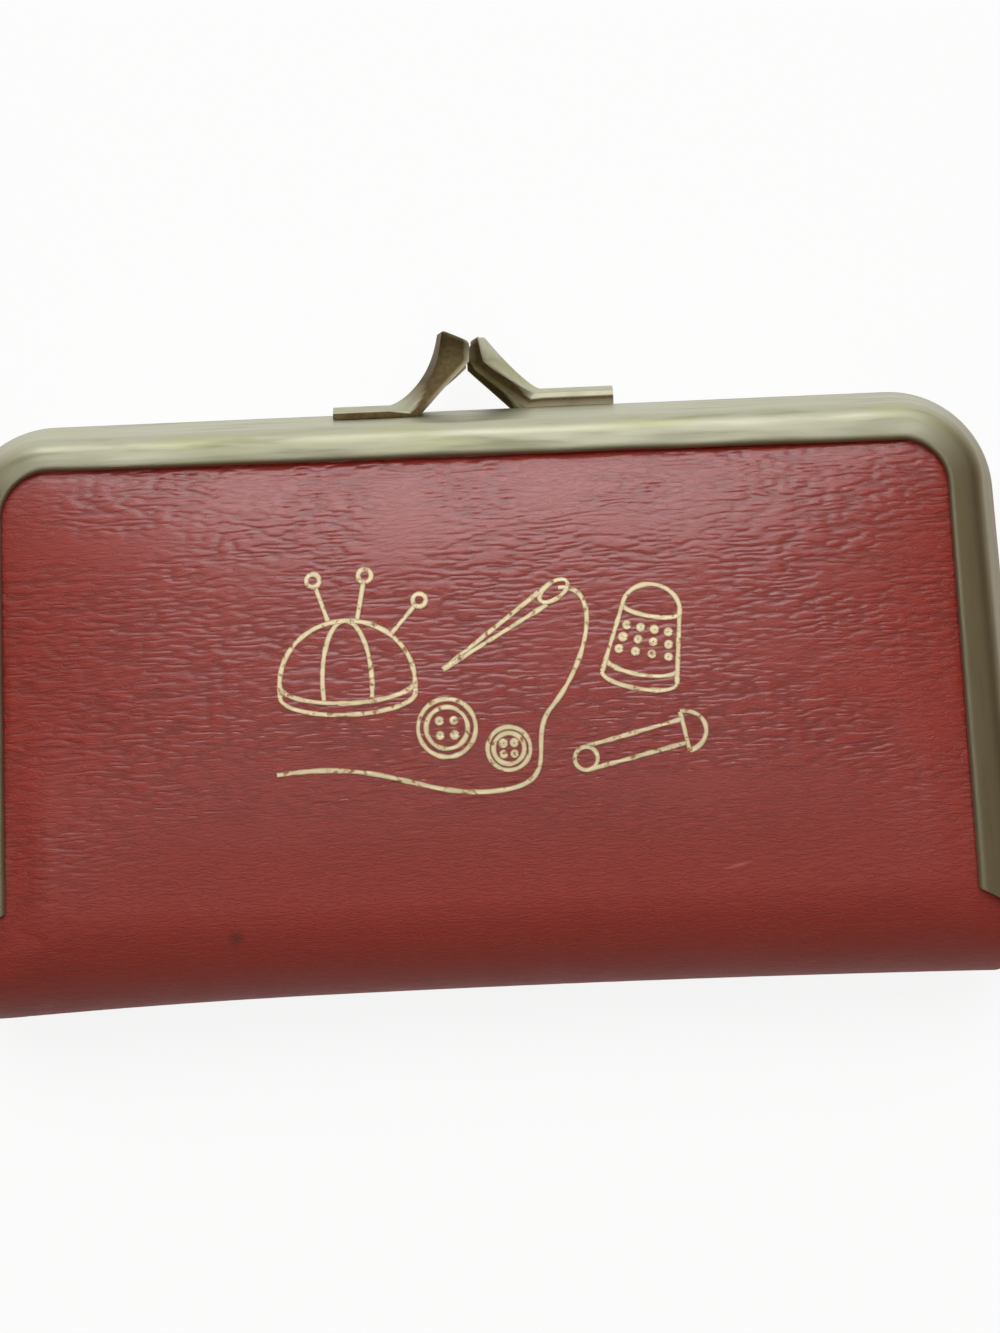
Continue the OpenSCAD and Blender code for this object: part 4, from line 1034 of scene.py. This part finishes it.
def pearl_button():
    """Polyester pearl buttons: polished, with cloudy pearl swirls in them."""
    material, tree, shader, place = new_finish("pearl_button")
    swirl = add(tree, "TexNoise", {"Vector": place, "Scale": 1 / (3 * mm), "Detail": 2.0, "Distortion": 1.5})
    tone = add(tree, "MixRGB", {"Fac": swirl.outputs[0], "Color1": colour("#DAD6CE"), "Color2": colour("#FBF8F1")})
    relief = add(tree, "Bump", {"Height": swirl.outputs[0], "Strength": 0.05, "Distance": 0.1 * mm})
    fill(tree, shader, {"Base Color": tone.outputs[0], "Normal": relief.outputs[0], "Roughness": 0.18,
                        "Coat Weight": 0.3, "Coat Roughness": 0.1})
    return material


nickel = plated_metal("nickel_plated_steel", "#D5D7D8", "#A9ABAB", 0.12, 0.25)
polished = plated_metal("polished_brass", "#DCC783", "#B49A55", 0.12, 0.15)
refinish(nickel, "scissors_lower_blade", "scissors_upper_blade", "thread_rod", "thimble", "needles",
         "threader_wire")
refinish(polished, "scissors_screw", "rod_brackets", "safety_pins", "left_hinge_rivet",
         "right_hinge_rivet")
refinish(plated_metal("stamped_aluminium", "#C9CBCC", "#A4A6A8", 0.3, 0.5), "threader_plate")
refinish(turned_beech(), "spool_1", "spool_2", "spool_3", "spool_4")
refinish(pressed_card("grey_board", "#B79B73", "#8E7754"), "front_board", "back_board")
refinish(pressed_card("white_card", "#EFE8D6", "#DCD2BB"), "button_card")
refinish(pearl_button(), "shirt_buttons")

# Studio
# A white table with a soft shadow, one soft box above the clasp's side, a plain overhead fill, and
# a pale room that is darker to the left and right, which the brass reflects.
floor_half = 4.0
floor_mesh = bpy.data.meshes.new("floor")
floor_mesh.from_pydata([(x, y, 0) for x, y in ((-floor_half, -floor_half), (floor_half, -floor_half),
                                               (floor_half, floor_half), (-floor_half, floor_half))],
                       [], [(0, 1, 2, 3)])
floor = bpy.data.objects.new("floor", floor_mesh)
bpy.context.collection.objects.link(floor)
white_table, tree, shader, _ = new_finish("matt_white_table")
fill(tree, shader, {"Base Color": colour("#F4F4F2"), "Roughness": 0.9})
seen = add(tree, "LightPath")
either = add(tree, "Math", {0: seen.outputs["Is Camera Ray"], 1: seen.outputs["Is Glossy Ray"]},
             operation="MAXIMUM")
either = add(tree, "Math", {0: either.outputs[0], 1: seen.outputs["Is Transmission Ray"]},
             operation="MAXIMUM")
share = add(tree, "Math", {0: either.outputs[0], 1: 0.87}, operation="MULTIPLY")
glow = add(tree, "Emission", {"Color": colour("#FFFFFF"), "Strength": 1.0})
blend_in = add(tree, "MixShader", {0: share.outputs[0], 1: shader.outputs[0], 2: glow.outputs[0]})
tree.links.new(blend_in.outputs[0], tree.nodes["Material Output"].inputs["Surface"])
floor_mesh.materials.append(white_table)


daylight = (0.94, 0.97, 1.0)


def soft_box(name, place, roll, size, radiance, in_reflections):
    """A rectangular area lamp that faces the case, rolled about its axis, whose face has an even
    radiance."""
    lamp = bpy.data.lights.new(name, "AREA")
    lamp.shape = "RECTANGLE"
    lamp.size, lamp.size_y = size
    lamp.energy = radiance * np.pi * size[0] * size[1]
    lamp.color = daylight
    holder = bpy.data.objects.new(name, lamp)
    holder.location = place
    facing = (-Vector(place)).to_track_quat("-Z", "Y")
    holder.rotation_euler = (facing @ Quaternion((0, 0, 1), radians(roll))).to_euler()
    holder.visible_glossy = in_reflections
    bpy.context.collection.objects.link(holder)


soft_box("clasp_side_softbox", (0.02, 0.49, 0.82), 12, (0.4, 0.7), 2.4, True)
soft_box("spine_side_reflector", (0, -0.36, 0.86), 0, (0.45, 0.4), 0.6, True)
soft_box("overhead_fill", (-0.05, 0.3, 1.35), 0, (1.0, 1.0), 3.35, False)

room = bpy.data.worlds.new("studio_room")
bpy.context.scene.world = room
room.use_nodes = True
tree = room.node_tree
way = add(tree, "SeparateXYZ", {"Vector": add(tree, "TexCoord").outputs["Generated"]})
bright = add(tree, "MapRange", {"Value": way.outputs["Y"], "From Min": 0.3, "From Max": 0.85},
             interpolation_type="SMOOTHSTEP")
room_tone = add(tree, "MixRGB", {"Fac": bright.outputs[0], "Color1": colour("#6A5F50"),
                                 "Color2": colour("#FFFFFF")})
fill(tree, tree.nodes["Background"], {"Color": room_tone.outputs[0], "Strength": 0.95})
bpy.context.scene.view_settings.view_transform = "Standard"
